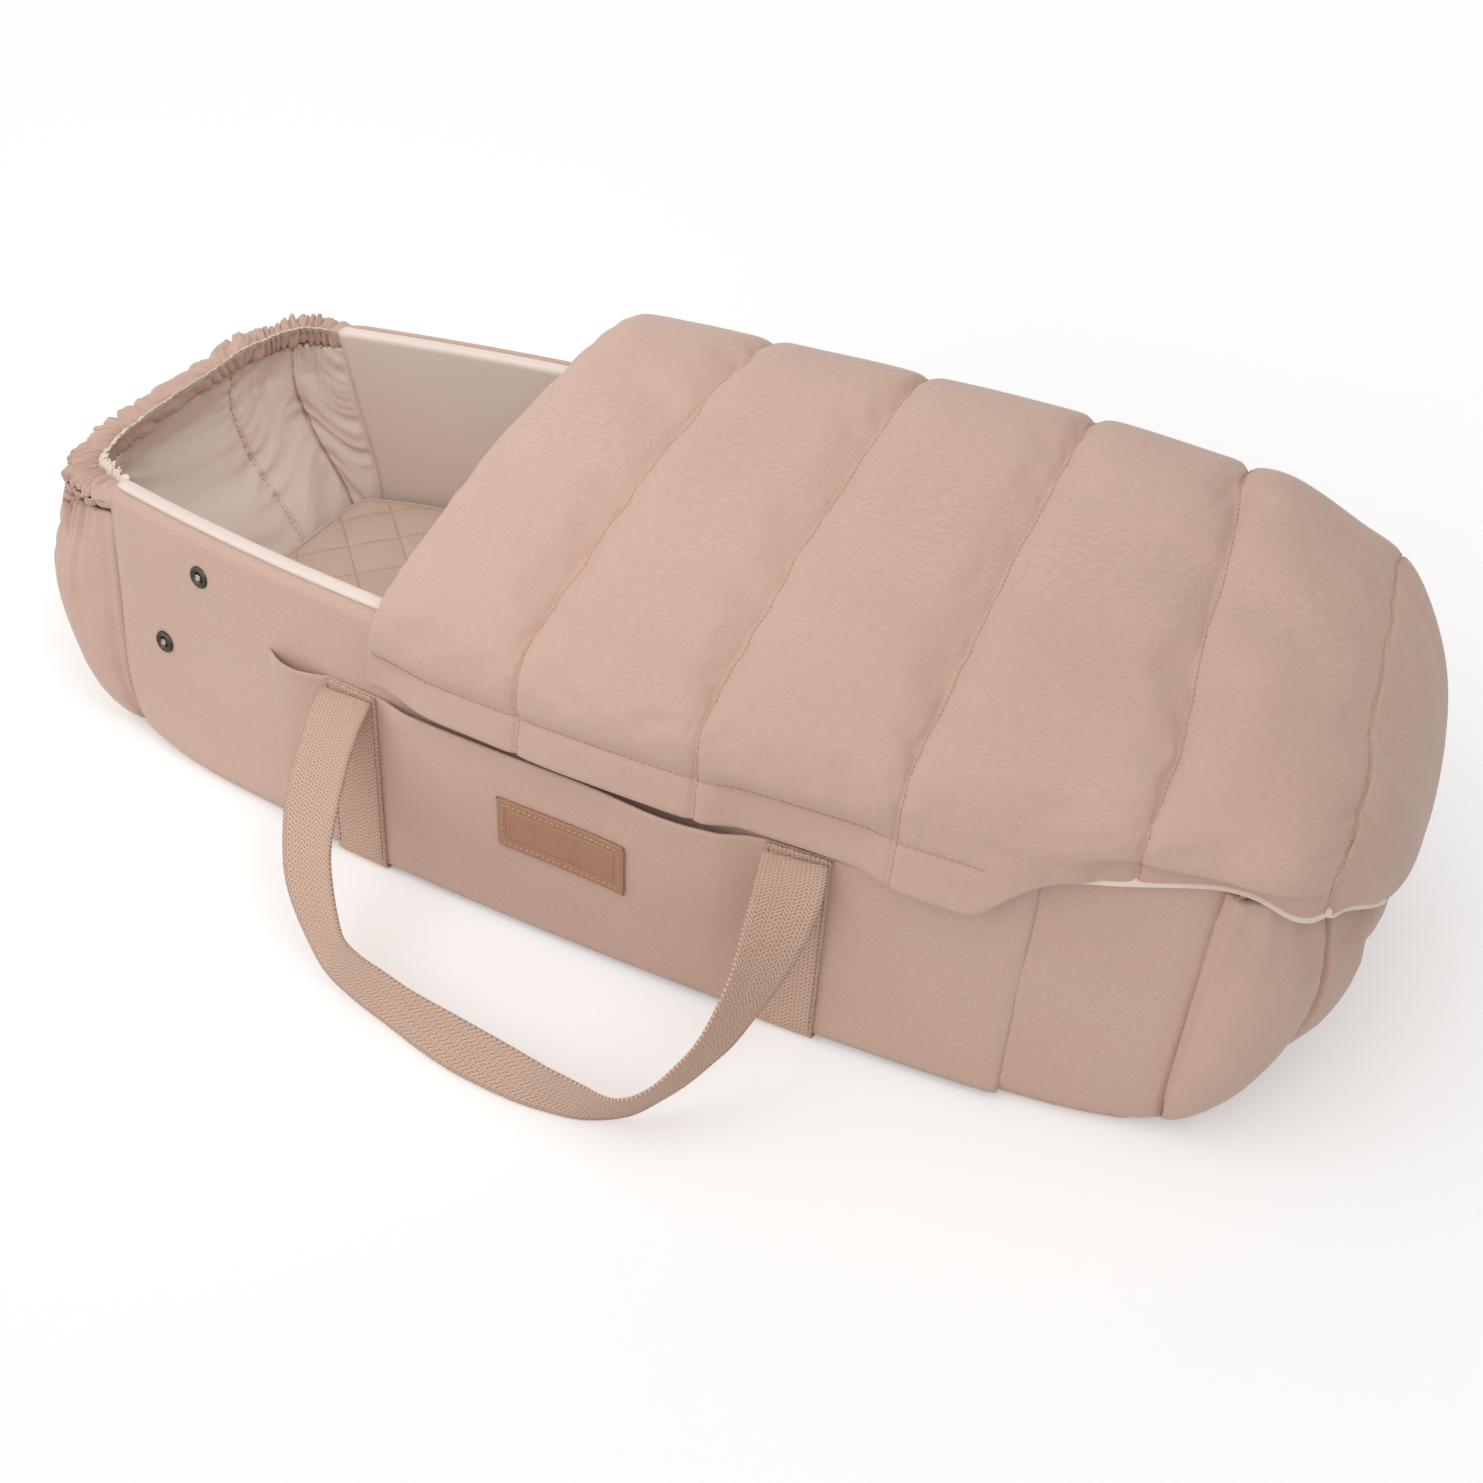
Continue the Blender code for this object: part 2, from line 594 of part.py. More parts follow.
def turned(name, material, profile, place, normal):
    """A profile of (radius, height) points spun about its own axis, then stood on a wall."""
    bm = bmesh.new()
    verts = [bm.verts.new((radius, 0, height)) for radius, height in profile]
    edges = [bm.edges.new(pair) for pair in zip(verts, verts[1:])]
    if profile[0][0] > 0:
        edges.append(bm.edges.new((verts[-1], verts[0])))
    bmesh.ops.spin(bm, geom=verts + edges, cent=(0, 0, 0), axis=(0, 0, 1), angle=math.tau,
                   steps=SNAP_STEPS, use_merge=True)
    bmesh.ops.remove_doubles(bm, verts=bm.verts, dist=SEAT_GAP / 10)
    turn = Vector((0, 0, 1)).rotation_difference(normal).to_matrix().to_4x4()
    bmesh.ops.transform(bm, matrix=Matrix.Translation(place) @ turn, verts=bm.verts)
    return add_object(name, bm, material)


def make_snaps(ring_metal, stud_metal):
    ring = [(SNAP_BORE_RADIUS, 0), (SNAP_RADIUS, 0), (SNAP_RADIUS, SNAP_HEIGHT - SNAP_EDGE),
            (SNAP_RADIUS - SNAP_EDGE, SNAP_HEIGHT), (SNAP_BORE_RADIUS + SNAP_EDGE, SNAP_HEIGHT),
            (SNAP_BORE_RADIUS, SNAP_HEIGHT - SNAP_EDGE)]
    stud = [(0, 0), (STUD_RADIUS, 0), (STUD_RADIUS, STUD_HEIGHT - STUD_EDGE),
            (STUD_RADIUS - STUD_EDGE, STUD_HEIGHT), (STUD_DIMPLE_RADIUS, STUD_HEIGHT),
            (STUD_DIMPLE_RADIUS, STUD_HEIGHT - STUD_DIMPLE_DEPTH), (0, STUD_HEIGHT - STUD_DIMPLE_DEPTH)]
    spots = (("upper", SNAP_UPPER_SETBACK - HALF_SIDE, RIM_HEIGHT - SNAP_UPPER_BELOW_RIM),
             ("lower", SNAP_LOWER_SETBACK - HALF_SIDE, RIM_HEIGHT - SNAP_LOWER_BELOW_RIM))
    for side, side_word in ((-1, "near"), (1, "far")):
        for word, x, z in spots:
            step = SNAP_RADIUS
            along = on_wall(side, x + step, z, 0) - on_wall(side, x - step, z, 0)
            up = on_wall(side, x, z + step, 0) - on_wall(side, x, z - step, 0)
            normal = along.cross(up).normalized()
            normal *= math.copysign(1, normal.y * side)
            seat = on_wall(side, x, z, 0) + normal * SEAT_GAP
            turned(f"snap_ring_{word}_{side_word}", ring_metal, ring, seat, normal)
            turned(f"snap_stud_{word}_{side_word}", stud_metal, stud, seat, normal)


def cover_seams():
    return (COVER_HEAD_EDGE, COVER_SEAM_1, COVER_SEAM_2, COVER_SEAM_3, COVER_FOLD_SEAM, COVER_SEAM_5)


def cover_half_width(x, z, offset):
    """Half width of the cover where it hangs, on the bowed side or round the corner of the foot end."""
    past = (x - HALF_SIDE) / COVER_END_DEPTH
    side = half_width(x, z) + offset
    if past <= 0:
        return side
    power = 2 / end_round(1, z)
    return side * max(1 - past ** power, 0) ** (1 / power)


def cover_hem(x):
    """Height of the cover's lower edge: a hanging flap with a tab, then a short edge to the foot."""
    flap = RIM_HEIGHT - FLAP_DROP + COVER_HEAD_RISE * (1 - (x - COVER_HEAD_EDGE) / SIDE_LENGTH)
    tab = smooth((x - FLAP_TAB_X + 2 * FLAP_TAB_LENGTH) / (2 * FLAP_TAB_LENGTH))
    edge = smooth((x - FLAP_TAB_X) / (COVER_EDGE_START - FLAP_TAB_X))
    hanging = lerp(flap, RIM_HEIGHT - FLAP_TAB_DROP, tab)
    return lerp(hanging, RIM_HEIGHT - COVER_EDGE_DROP, edge)


def fold_clearance(x):
    """Room between the flap and the wall, which the flap needs near the fold as it lifts."""
    if x > COVER_FOLD_SEAM:
        return SOFT_GAP
    near_fold = smooth(1 - (COVER_FOLD_SEAM - x) / FOLD_CLEARANCE_REACH)
    return lerp(SOFT_GAP, FOLD_CLEARANCE, near_fold)


def cover_section(x, across, top):
    """A point of the cover's cross-section at x: across runs from -1 to 1, hem to hem."""
    arch_share = ARCH_CELLS / (ARCH_CELLS + FLAP_CELLS)
    side, reach = math.copysign(1, across), abs(across)
    channel = puff(cover_seams(), x)
    hem = cover_hem(x)
    fall = COVER_FOOT_FALL * smooth((x - COVER_SEAM_3) / (COVER_SEAM_5 - COVER_SEAM_3))
    if top:
        foot_of_arch, crown = COVER_VERTICAL, CROWN_LEVEL - fall - COVER_PINCH * (1 - channel)
        width = cover_half_width(x, foot_of_arch, COVER_OVERHANG - COVER_PINCH / 2 * (1 - channel))
    else:
        foot_of_arch = COVER_SEAT
        crown = CROWN_LEVEL - fall - COVER_THICKNESS + COVER_PINCH * (1 - channel)
        width = cover_half_width(x, foot_of_arch, fold_clearance(x))
    if reach <= arch_share:
        angle = math.pi / 2 * reach / arch_share
        y = width * math.sin(angle) ** COVER_SQUARE_SHARE
        z = foot_of_arch + (crown - foot_of_arch) * max(math.cos(angle), 0) ** COVER_ROUND_SHARE
        return Vector((x, side * y, z))
    down = (reach - arch_share) / (1 - arch_share)
    z = lerp(foot_of_arch, hem, down)
    offset = fold_clearance(x)
    if top:
        outer = COVER_OVERHANG - COVER_PINCH / 2 * (1 - channel)
        offset = lerp(outer, offset + COVER_BORDER_THICKNESS, down ** 0.7)
    return Vector((x, side * cover_half_width(x, z, offset), z))


def cover_end(across, past_seam, top):
    """A point of the last channel, from its seam over the foot end down to the hem."""
    start = cover_section(COVER_SEAM_5, across, top)
    hem = RIM_HEIGHT - COVER_EDGE_DROP
    swell = COVER_PINCH * (1 - abs(2 * past_seam - 1) ** 2.6)
    offset = SOFT_GAP + (COVER_BORDER_THICKNESS if top else 0)
    # The hem follows the foot end's outline from where the last seam leaves it
    finish = end_point(1, math.pi * COVER_END_SPAN_SHARE * across, hem, WALL_THICKNESS / 2 + offset)
    turn = math.pi / 2 * past_seam
    level, drop = math.sin(turn), 1 - math.cos(turn)
    point = Vector((lerp(start.x, finish.x, level), lerp(start.y, finish.y, level),
                    lerp(start.z, finish.z, drop)))
    if top:
        outward = Vector((math.sin(turn), 0, math.cos(turn)))
        point += outward * swell * (1 - abs(across) ** 4)
    return point


def make_cover(fabric):
    seams = cover_seams()
    front, foot = seams[:5], seams[4:]
    arch, flap = even_shares(ARCH_CELLS), even_shares(FLAP_CELLS)
    arch_share = ARCH_CELLS / (ARCH_CELLS + FLAP_CELLS)
    half = [share * arch_share for share in arch] + [lerp(arch_share, 1, share) for share in flap[1:]]
    across = [-share for share in half[:0:-1]] + half
    lateral = [(share + 1) / 2 for share in across]
    fold = Vector((COVER_FOLD_SEAM, 0, cover_section(COVER_FOLD_SEAM, 0, True).z))
    pivot = add_pivot("cover_fold_axis", fold)

    def on_front(u, v, w):
        x = lerp(front[0], front[-1], u) - (SEAT_GAP / 2 if u == 1 else 0)
        return cover_section(x, 2 * v - 1, w > 0.5)

    stations = [(x - front[0]) / (front[-1] - front[0]) for x in cell_shares(front, CHANNEL_CELL_SHARES)]
    shaped_block("cover_front", fabric, stations, lateral, on_front, pivot)

    def on_foot(u, v, w):
        if u <= 0.5:
            x = lerp(foot[0], foot[1], 2 * u) + (SEAT_GAP / 2 if u == 0 else 0)
            return cover_section(x, 2 * v - 1, w > 0.5)
        return cover_end(2 * v - 1, 2 * u - 1, w > 0.5)

    stations = cell_shares((0, 0.5, 1), CHANNEL_CELL_SHARES)
    shaped_block("cover_foot", fabric, stations, lateral, on_foot)


for leftover in list(bpy.data.objects):
    bpy.data.objects.remove(leftover, do_unlink=True)
centred = Vector((FRAME_SHIFT, 0, 0))
collection = bpy.data.collections.new(OBJECT_NAME)
bpy.context.scene.collection.children.link(collection)

outer_fabric = make_material("outer_fabric", (0.60, 0.44, 0.37), 0.9)
lining_fabric = make_material("lining_fabric", (0.62, 0.50, 0.43), 0.85)
mattress_fabric = make_material("mattress_fabric", (0.66, 0.53, 0.46), 0.85)
board_card = make_material("board", (0.45, 0.42, 0.38), 0.8)
foam = make_material("foam", (0.80, 0.79, 0.74), 0.95)
elastic_tape = make_material("elastic", (0.82, 0.80, 0.76), 0.8)
web = make_material("webbing", (0.60, 0.40, 0.29), 0.85)
leather_tan = make_material("leather", (0.42, 0.23, 0.13), 0.55)
dark_metal = make_material("dark_metal", (0.10, 0.09, 0.08), 0.35, 1.0)
pale_metal = make_material("pale_metal", (0.62, 0.60, 0.56), 0.4, 1.0)

make_base(outer_fabric, board_card)
make_sides(outer_fabric, lining_fabric, foam)
make_ends(outer_fabric, lining_fabric, elastic_tape)
make_mattress(mattress_fabric, mattress_fabric)
make_pockets(outer_fabric)
make_patch(leather_tan)
make_webbing(web)
make_handles(web)
make_snaps(dark_metal, pale_metal)
make_cover(outer_fabric)
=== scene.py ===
import math

import bmesh
import bpy
from mathutils import Matrix, Vector, noise
from mathutils.bvhtree import BVHTree


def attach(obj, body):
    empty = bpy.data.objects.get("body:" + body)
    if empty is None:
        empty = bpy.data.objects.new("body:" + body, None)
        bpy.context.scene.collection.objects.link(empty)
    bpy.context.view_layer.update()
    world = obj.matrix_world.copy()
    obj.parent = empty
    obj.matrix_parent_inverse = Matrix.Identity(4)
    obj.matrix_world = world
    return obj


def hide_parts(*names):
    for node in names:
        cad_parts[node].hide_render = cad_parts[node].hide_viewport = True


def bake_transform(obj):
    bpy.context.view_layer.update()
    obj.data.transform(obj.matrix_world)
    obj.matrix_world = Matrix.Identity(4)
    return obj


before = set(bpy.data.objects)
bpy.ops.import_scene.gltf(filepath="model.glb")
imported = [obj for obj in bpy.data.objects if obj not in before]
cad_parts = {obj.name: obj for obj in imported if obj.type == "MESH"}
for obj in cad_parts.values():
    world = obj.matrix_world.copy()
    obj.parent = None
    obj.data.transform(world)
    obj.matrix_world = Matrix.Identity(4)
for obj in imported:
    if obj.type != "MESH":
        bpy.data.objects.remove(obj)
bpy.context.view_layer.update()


# The camera stands where the photograph was taken, above the near side and a little towards the foot.
# A broad soft light from above and an even pale room light the cloth, over a white studio floor.
ROOM_TONE = (1.0, 0.99, 0.98)
ROOM_STRENGTH_AT_HEAD = 0.78
ROOM_STRENGTH_AT_FOOT = 0.06
FILL_SPOT = (0.30, -0.30, 0.95)
FILL_AIM = (-0.33, 0.03, 0.10)
FLOOR_HALF = 8
FLOOR_LEVEL = -0.0004
FLOOR_TONE = (0.90, 0.90, 0.90)
FLOOR_LIFT = 0.24
WHITE = (1, 1, 1)

camera_data = bpy.data.cameras.new("photo_view")
camera_data.lens = 41.5155
camera_data.sensor_width = 36
camera_data.shift_x = 0.040313
camera_data.shift_y = -0.020584
camera = bpy.data.objects.new("photo_view", camera_data)
camera.location = (0.4208766, -0.77822898, 0.78701723)
camera.rotation_euler = [math.radians(turn) for turn in (49.984, 0.468, 28.283)]
bpy.context.scene.collection.objects.link(camera)
bpy.context.scene.camera = camera
bpy.context.scene.view_settings.view_transform = "Standard"


def feed(tree, node, sockets):
    """Sets each named socket of a shader node, or links it to the output that feeds it."""
    for socket, value in sockets.items():
        if isinstance(value, bpy.types.NodeSocket):
            tree.links.new(value, node.inputs[socket])
        elif node.inputs[socket].type == "RGBA":
            node.inputs[socket].default_value = (*value, 1)
        else:
            node.inputs[socket].default_value = value


def add_node(tree, kind, sockets, **settings):
    node = tree.nodes.new("ShaderNode" + kind)
    for setting, value in settings.items():
        setattr(node, setting, value)
    feed(tree, node, sockets)
    return node


def reckon(tree, operation, first, second):
    """Works out one number from two, each of them a value or another node's output."""
    return add_node(tree, "Math", {0: first, 1: second}, operation=operation).outputs[0]


def new_finish(name):
    """A material, its node tree and its shader."""
    finish = bpy.data.materials.new(name)
    finish.use_nodes = True
    return finish, finish.node_tree, finish.node_tree.nodes["Principled BSDF"]


room = bpy.data.worlds.new("pale_room")
room.use_nodes = True
bpy.context.scene.world = room
room_tree = room.node_tree
room_light = room_tree.nodes["Background"]
room_place = add_node(room_tree, "TexCoord", {}).outputs["Generated"]
room_side = add_node(room_tree, "SeparateXYZ", {"Vector": room_place}).outputs["X"]
room_falloff = add_node(room_tree, "MapRange", {"Value": room_side, "From Min": -1,
                                                "To Min": ROOM_STRENGTH_AT_HEAD,
                                                "To Max": ROOM_STRENGTH_AT_FOOT})
feed(room_tree, room_light, {"Color": ROOM_TONE, "Strength": room_falloff.outputs["Result"]})
room_white = add_node(room_tree, "Background", {"Color": WHITE})
seen = add_node(room_tree, "LightPath", {}).outputs
seen_or_mirrored = reckon(room_tree, "MAXIMUM", seen["Is Camera Ray"], seen["Is Glossy Ray"])
room_mix = add_node(room_tree, "MixShader", {0: seen_or_mirrored, 1: room_light.outputs[0],
                                             2: room_white.outputs[0]})
feed(room_tree, room_tree.nodes["World Output"], {"Surface": room_mix.outputs[0]})

for lamp_name, lamp_turn, lamp_strength, lamp_angle in (
    ("overhead_softbox", (20, 18, 0), 1.20, 100),
    ("window_side", (70, 0, -44), 0.62, 80),
):
    lamp_data = bpy.data.lights.new(lamp_name, "SUN")
    lamp_data.energy = lamp_strength
    lamp_data.angle = math.radians(lamp_angle)
    lamp = bpy.data.objects.new(lamp_name, lamp_data)
    lamp.rotation_euler = [math.radians(turn) for turn in lamp_turn]
    bpy.context.scene.collection.objects.link(lamp)

fill_data = bpy.data.lights.new("head_fill", "AREA")
fill_data.energy = 0.27
fill_data.size = 0.5
fill_data.spread = math.radians(50)
head_fill = bpy.data.objects.new("head_fill", fill_data)
head_fill.location = FILL_SPOT
head_fill.rotation_euler = (Vector(FILL_AIM) - head_fill.location).to_track_quat("-Z", "Y").to_euler()
bpy.context.scene.collection.objects.link(head_fill)

floor_mesh = bpy.data.meshes.new("studio_floor")
floor_bm = bmesh.new()
bmesh.ops.create_grid(floor_bm, x_segments=1, y_segments=1, size=FLOOR_HALF)
bmesh.ops.translate(floor_bm, verts=floor_bm.verts, vec=(0, 0, FLOOR_LEVEL))
floor_bm.to_mesh(floor_mesh)
floor_bm.free()
studio_floor = bpy.data.objects.new("studio_floor", floor_mesh)
bpy.context.scene.collection.objects.link(studio_floor)
floor_paint, floor_tree, floor_shader = new_finish("white_floor")
floor_seen = add_node(floor_tree, "LightPath", {}).outputs["Is Camera Ray"]
feed(floor_tree, floor_shader, {"Base Color": FLOOR_TONE, "Roughness": 1, "Specular IOR Level": 0,
                                "Emission Color": WHITE,
                                "Emission Strength": reckon(floor_tree, "MULTIPLY", floor_seen, FLOOR_LIFT)})
floor_mesh.materials.append(floor_paint)


# The two long side walls are boards of stiff foam in a heathered cotton, folded over the shoulder
# at the rim. The pale lining cloth starts on top of the shoulder and runs down the inner face.
# Places along the cot are measured from the middle of these walls, which stands at MIDDLE.
MIDDLE = Vector((0.010, 0, 0))
HALF_SIDE = 0.3625
RIM_HEIGHT = 0.189
WALL_FOOT = 0.0056
WALL_THICKNESS = 0.020
FOOT_HALF_WIDTH = 0.185
RIM_HALF_WIDTH = 0.167
FOOT_BOW = 0.0190
RIM_BOW = 0.0345
CORNER_TUCK = 0.016
CORNER_TUCK_HEIGHT = 0.070
WALL_LAP = 0.0012
WALL_SKIN = 0.004
WALL_EDGE_ROUND = 0.008
WALL_EDGE_SINK = 0.0024
WALL_FOOT_ROUND = 0.012
WALL_FOOT_SINK = 0.0055
WALL_FADE = 0.030
WALL_RIPPLES = ((0.0010, 1.0, 0.100), (0.0004, 4.0, 0.035))
SHOULDER = 0.008
SHOULDER_RADIUS = 0.006
SHOULDER_ARC = 0.0094
SHOULDER_LAP = 0.0056
LAP_SINK = 0.0012
LAP_EASE = 0.002
LINING_SKIN = 0.003
LINING_GAP = 0.0003
LINING_LIFT = 0.0004
LINING_FLAT = 0.008
LINING_RADIUS = 0.004
LINING_ARC = 0.0063
LINING_CREASE = 0.0005
LINING_CREASE_SIZE = 0.060
LINING_EASE = 0.02
LINING_SEAM_DIP = 0.0016
LINING_SEAM_EASE = 0.0025
SIDE_CELLS = (150, 90)
WARP_PITCH = 0.0011
WEFT_PITCH = 0.0009
CLOTH_TONES = ((0.645, 0.445, 0.362), (0.735, 0.545, 0.455), (0.555, 0.355, 0.280))
LINING_TONES = ((0.870, 0.750, 0.680), (0.900, 0.790, 0.730), (0.830, 0.700, 0.625))
MIX_FACTOR, MIX_FIRST, MIX_SECOND, MIX_RESULT = 0, 6, 7, 2


def lerp(low, high, share):
    return low + (high - low) * share


def smooth(share):
    share = min(max(share, 0.0), 1.0)
    return share * share * (3 - 2 * share)


def climb(place, height, start, run):
    """Rises by height over a run that begins at start, level before and after it."""
    return height * smooth((place - start) / run)


def ridge(away, height, width):
    """A soft ridge, or a groove, that fades out over about width on each side of its line."""
    return height * math.exp(-(away / width) ** 2)


def half_width(x, z):
    """Outer half width of the side walls, which bow outwards and lean in towards the rim."""
    rise, along = z / RIM_HEIGHT, min(abs(x) / HALF_SIDE, 1)
    tuck = CORNER_TUCK * max(1 - z / CORNER_TUCK_HEIGHT, 0) ** 2 * along ** 10
    return lerp(FOOT_HALF_WIDTH, RIM_HALF_WIDTH, rise) - lerp(FOOT_BOW, RIM_BOW, rise) * along ** 2 - tuck


def ripple(x, y, z, size):
    """Gentle unevenness of stretched cloth, from -1 to 1, with waves about as long as size."""
    return noise.noise(Vector((x, y, z)) / size)


def cut_cloth(columns, rows, width, height, place):
    """A piece of cloth cut width by height, laid in cells and brought to its shape by place(u, v).

    Its UV map holds the flat cloth in metres, so that the weave keeps its size.
    """
    bm = bmesh.new()
    bmesh.ops.create_grid(bm, x_segments=columns, y_segments=rows, size=0.5,
                          matrix=Matrix.Translation((0.5, 0.5, 0)))
    flat = bm.loops.layers.uv.new("flat_cloth")
    for face in bm.faces:
        for loop in face.loops:
            loop[flat].uv = (loop.vert.co.x * width, loop.vert.co.y * height)
    for vert in bm.verts:
        vert.co = place(vert.co.x, vert.co.y)
    return bm


def sew(name, bm, material, body="cot", slot=None, sheet_face=None):
    """Makes the piece, with its faces turned outwards, and hangs it on its body."""
    if sheet_face is None:
        bmesh.ops.recalc_face_normals(bm, faces=bm.faces)
    else:
        bm.normal_update()
        middle = sum((face.normal for face in bm.faces), Vector())
        if middle.dot(Vector(sheet_face)) < 0:
            bmesh.ops.reverse_faces(bm, faces=bm.faces)
    bmesh.ops.translate(bm, verts=bm.verts, vec=MIDDLE)
    mesh = bpy.data.meshes.new(name)
    bm.to_mesh(mesh)
    bm.free()
    mesh.materials.append(material)
    mesh.shade_smooth()
    piece = bpy.data.objects.new(name, mesh)
    bpy.context.scene.collection.objects.link(piece)
    if body:
        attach(piece, body)
    return piece


def thicken(piece, thickness, offset=-1):
    wall = piece.modifiers.new("thickness", "SOLIDIFY")
    wall.thickness = thickness
    wall.offset = offset


def bumpy(tree, height, strength, distance):
    """Small relief from a height, for the shader's normal."""
    return add_node(tree, "Bump", {"Height": height, "Strength": strength,
                                   "Distance": distance}).outputs["Normal"]


def woven_cloth(name, tones, slub=1.0, relief=0.00014, quilt_pitch=None, quilt_thread=None):
    """Fine cotton: fibres of two tones spun together, thicker slubs along the weft, a plain weave."""
    tone, slub_tone, shade_tone = tones
    material, tree, shader = new_finish(name)
    flat = add_node(tree, "UVMap", {}, uv_map="flat_cloth").outputs["UV"]

    def yarn(along, across, detail, seed):
        stretched = add_node(tree, "Mapping", {"Vector": flat, "Scale": (along, across, 1),
                                               "Location": (seed, seed * 1.7, 0)}).outputs["Vector"]
        return add_node(tree, "TexNoise", {"Vector": stretched, "Scale": 1, "Detail": detail}).outputs["Fac"]

    def blend_tones(amount, low, high, first, second):
        spread = add_node(tree, "MapRange", {"Value": amount, "From Min": low, "From Max": high})
        sockets = {MIX_FACTOR: spread.outputs["Result"], MIX_FIRST: first, MIX_SECOND: second}
        return add_node(tree, "Mix", sockets, data_type="RGBA").outputs[MIX_RESULT]

    weft = yarn(330, 1300, 2, 3.1)
    warp = yarn(1300, 500, 2, 7.7)
    cloudy = yarn(9, 14, 3, 1.3)
    fibres = blend_tones(weft, 0.5 - 0.22 / slub, 0.5 + 0.24 / slub, shade_tone, slub_tone)
    heather = blend_tones(warp, 0.25, 0.85, fibres, tone)
    toned = blend_tones(cloudy, 0.1, 1.6, heather, shade_tone)
    if quilt_pitch:
        split = add_node(tree, "SeparateXYZ", {"Vector": flat}).outputs
        slanted = [reckon(tree, slant, split["X"], split["Y"]) for slant in ("ADD", "SUBTRACT")]
        to_rows = [reckon(tree, "PINGPONG", place, quilt_pitch / 2) for place in slanted]
        toned = blend_tones(reckon(tree, "MINIMUM", *to_rows), 0.0004, 0.0016, quilt_thread, toned)

    ribs = [add_node(tree, "TexWave", {"Vector": flat, "Scale": math.pi / 10 / pitch, "Distortion": 1.2},
                     bands_direction=direction).outputs["Fac"]
            for direction, pitch in (("X", WARP_PITCH), ("Y", WEFT_PITCH))]
    quiet_weave = reckon(tree, "MULTIPLY", reckon(tree, "MULTIPLY", *ribs), 0.4)
    feed(tree, shader, {"Base Color": toned, "Roughness": 0.92, "Specular IOR Level": 0.25,
                        "Sheen Weight": 0.25, "Sheen Roughness": 0.5,
                        "Normal": bumpy(tree, reckon(tree, "ADD", quiet_weave, weft), 0.6, relief)})
    return material


heathered_cotton = woven_cloth("heathered_cotton", CLOTH_TONES)
smooth_lining = woven_cloth("smooth_lining", LINING_TONES, 0.6, 0.00012)
side_height = RIM_HEIGHT - WALL_FOOT


def side_face(x, z):
    """How far the padded wall stands proud of its plain bowed face."""
    edge = smooth((HALF_SIDE - abs(x)) / WALL_EDGE_ROUND)
    level = smooth((z - WALL_FOOT) / WALL_FADE) * smooth((RIM_HEIGHT - z) / WALL_FADE)
    low = max(1 - (z - WALL_FOOT) / WALL_FOOT_ROUND, 0)
    uneven = level * sum(height * ripple(x, z, seed, size) for height, seed, size in WALL_RIPPLES)
    return uneven - WALL_EDGE_SINK * (1 - edge) - WALL_FOOT_SINK * (1 - math.sqrt(1 - low ** 2))


def side_outer(side):
    """Up the outer face, round the shoulder and a little way in over the top, under the lining."""
    def place(u, v):
        x = lerp(-HALF_SIDE - WALL_LAP, HALF_SIDE + WALL_LAP, u)
        path = v * (side_height + SHOULDER_LAP)
        round_path = path - side_height + SHOULDER_RADIUS
        if round_path < 0:
            depth, z = 0, WALL_FOOT + path
        else:
            turn = min(round_path / SHOULDER_ARC, 1) * math.pi / 2
            past = max(round_path - SHOULDER_ARC, 0)
            depth = SHOULDER_RADIUS * (1 - math.cos(turn)) + past
            under_lining = climb(depth, LAP_SINK, SHOULDER_RADIUS, LAP_EASE)
            z = RIM_HEIGHT - SHOULDER_RADIUS * (1 - math.sin(turn)) - under_lining
        return Vector((x, side * (half_width(x, z) - depth + side_face(x, z)), z))
    return place


def side_inner(side):
    """From the seam on the shoulder over the flat top and down the inner face."""
    def place(u, v):
        x = lerp(-HALF_SIDE - WALL_LAP, HALF_SIDE + WALL_LAP, u)
        path = (1 - v) * (side_height + WALL_THICKNESS - SHOULDER)
        crease = LINING_CREASE * ripple(x, path, 9.0, LINING_CREASE_SIZE) * smooth(path / LINING_EASE)
        if path < LINING_FLAT:
            depth = SHOULDER + LINING_GAP + path
            z = RIM_HEIGHT + LINING_LIFT - LINING_SEAM_DIP * (1 - smooth(path / LINING_SEAM_EASE))
        else:
            turn = min((path - LINING_FLAT) / LINING_ARC, 1) * math.pi / 2
            depth = WALL_THICKNESS + LINING_GAP - LINING_RADIUS * (1 - math.sin(turn))
            z = RIM_HEIGHT + LINING_LIFT - LINING_RADIUS * (1 - math.cos(turn))
            z -= max(path - LINING_FLAT - LINING_ARC, 0)
        z_on_wall = max(z, WALL_FOOT)
        return Vector((x, side * (half_width(x, z_on_wall) - depth - crease), z_on_wall))
    return place


for side, word in ((-1, "near"), (1, "far")):
    wall = sew(f"side_wall_{word}", cut_cloth(*SIDE_CELLS, 2 * HALF_SIDE, side_height, side_outer(side)),
               heathered_cotton, slot="outer_fabric", sheet_face=(0, side, 0.2))
    thicken(wall, WALL_SKIN)
    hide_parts(f"side_panel_{word}", f"side_core_{word}")
    facing = sew(f"side_lining_cloth_{word}",
                 cut_cloth(*SIDE_CELLS, 2 * HALF_SIDE, side_height, side_inner(side)),
                 smooth_lining, slot="lining_fabric", sheet_face=(0, -side, 0.2))
    thicken(facing, LINING_SKIN)
    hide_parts(f"side_lining_{word}")


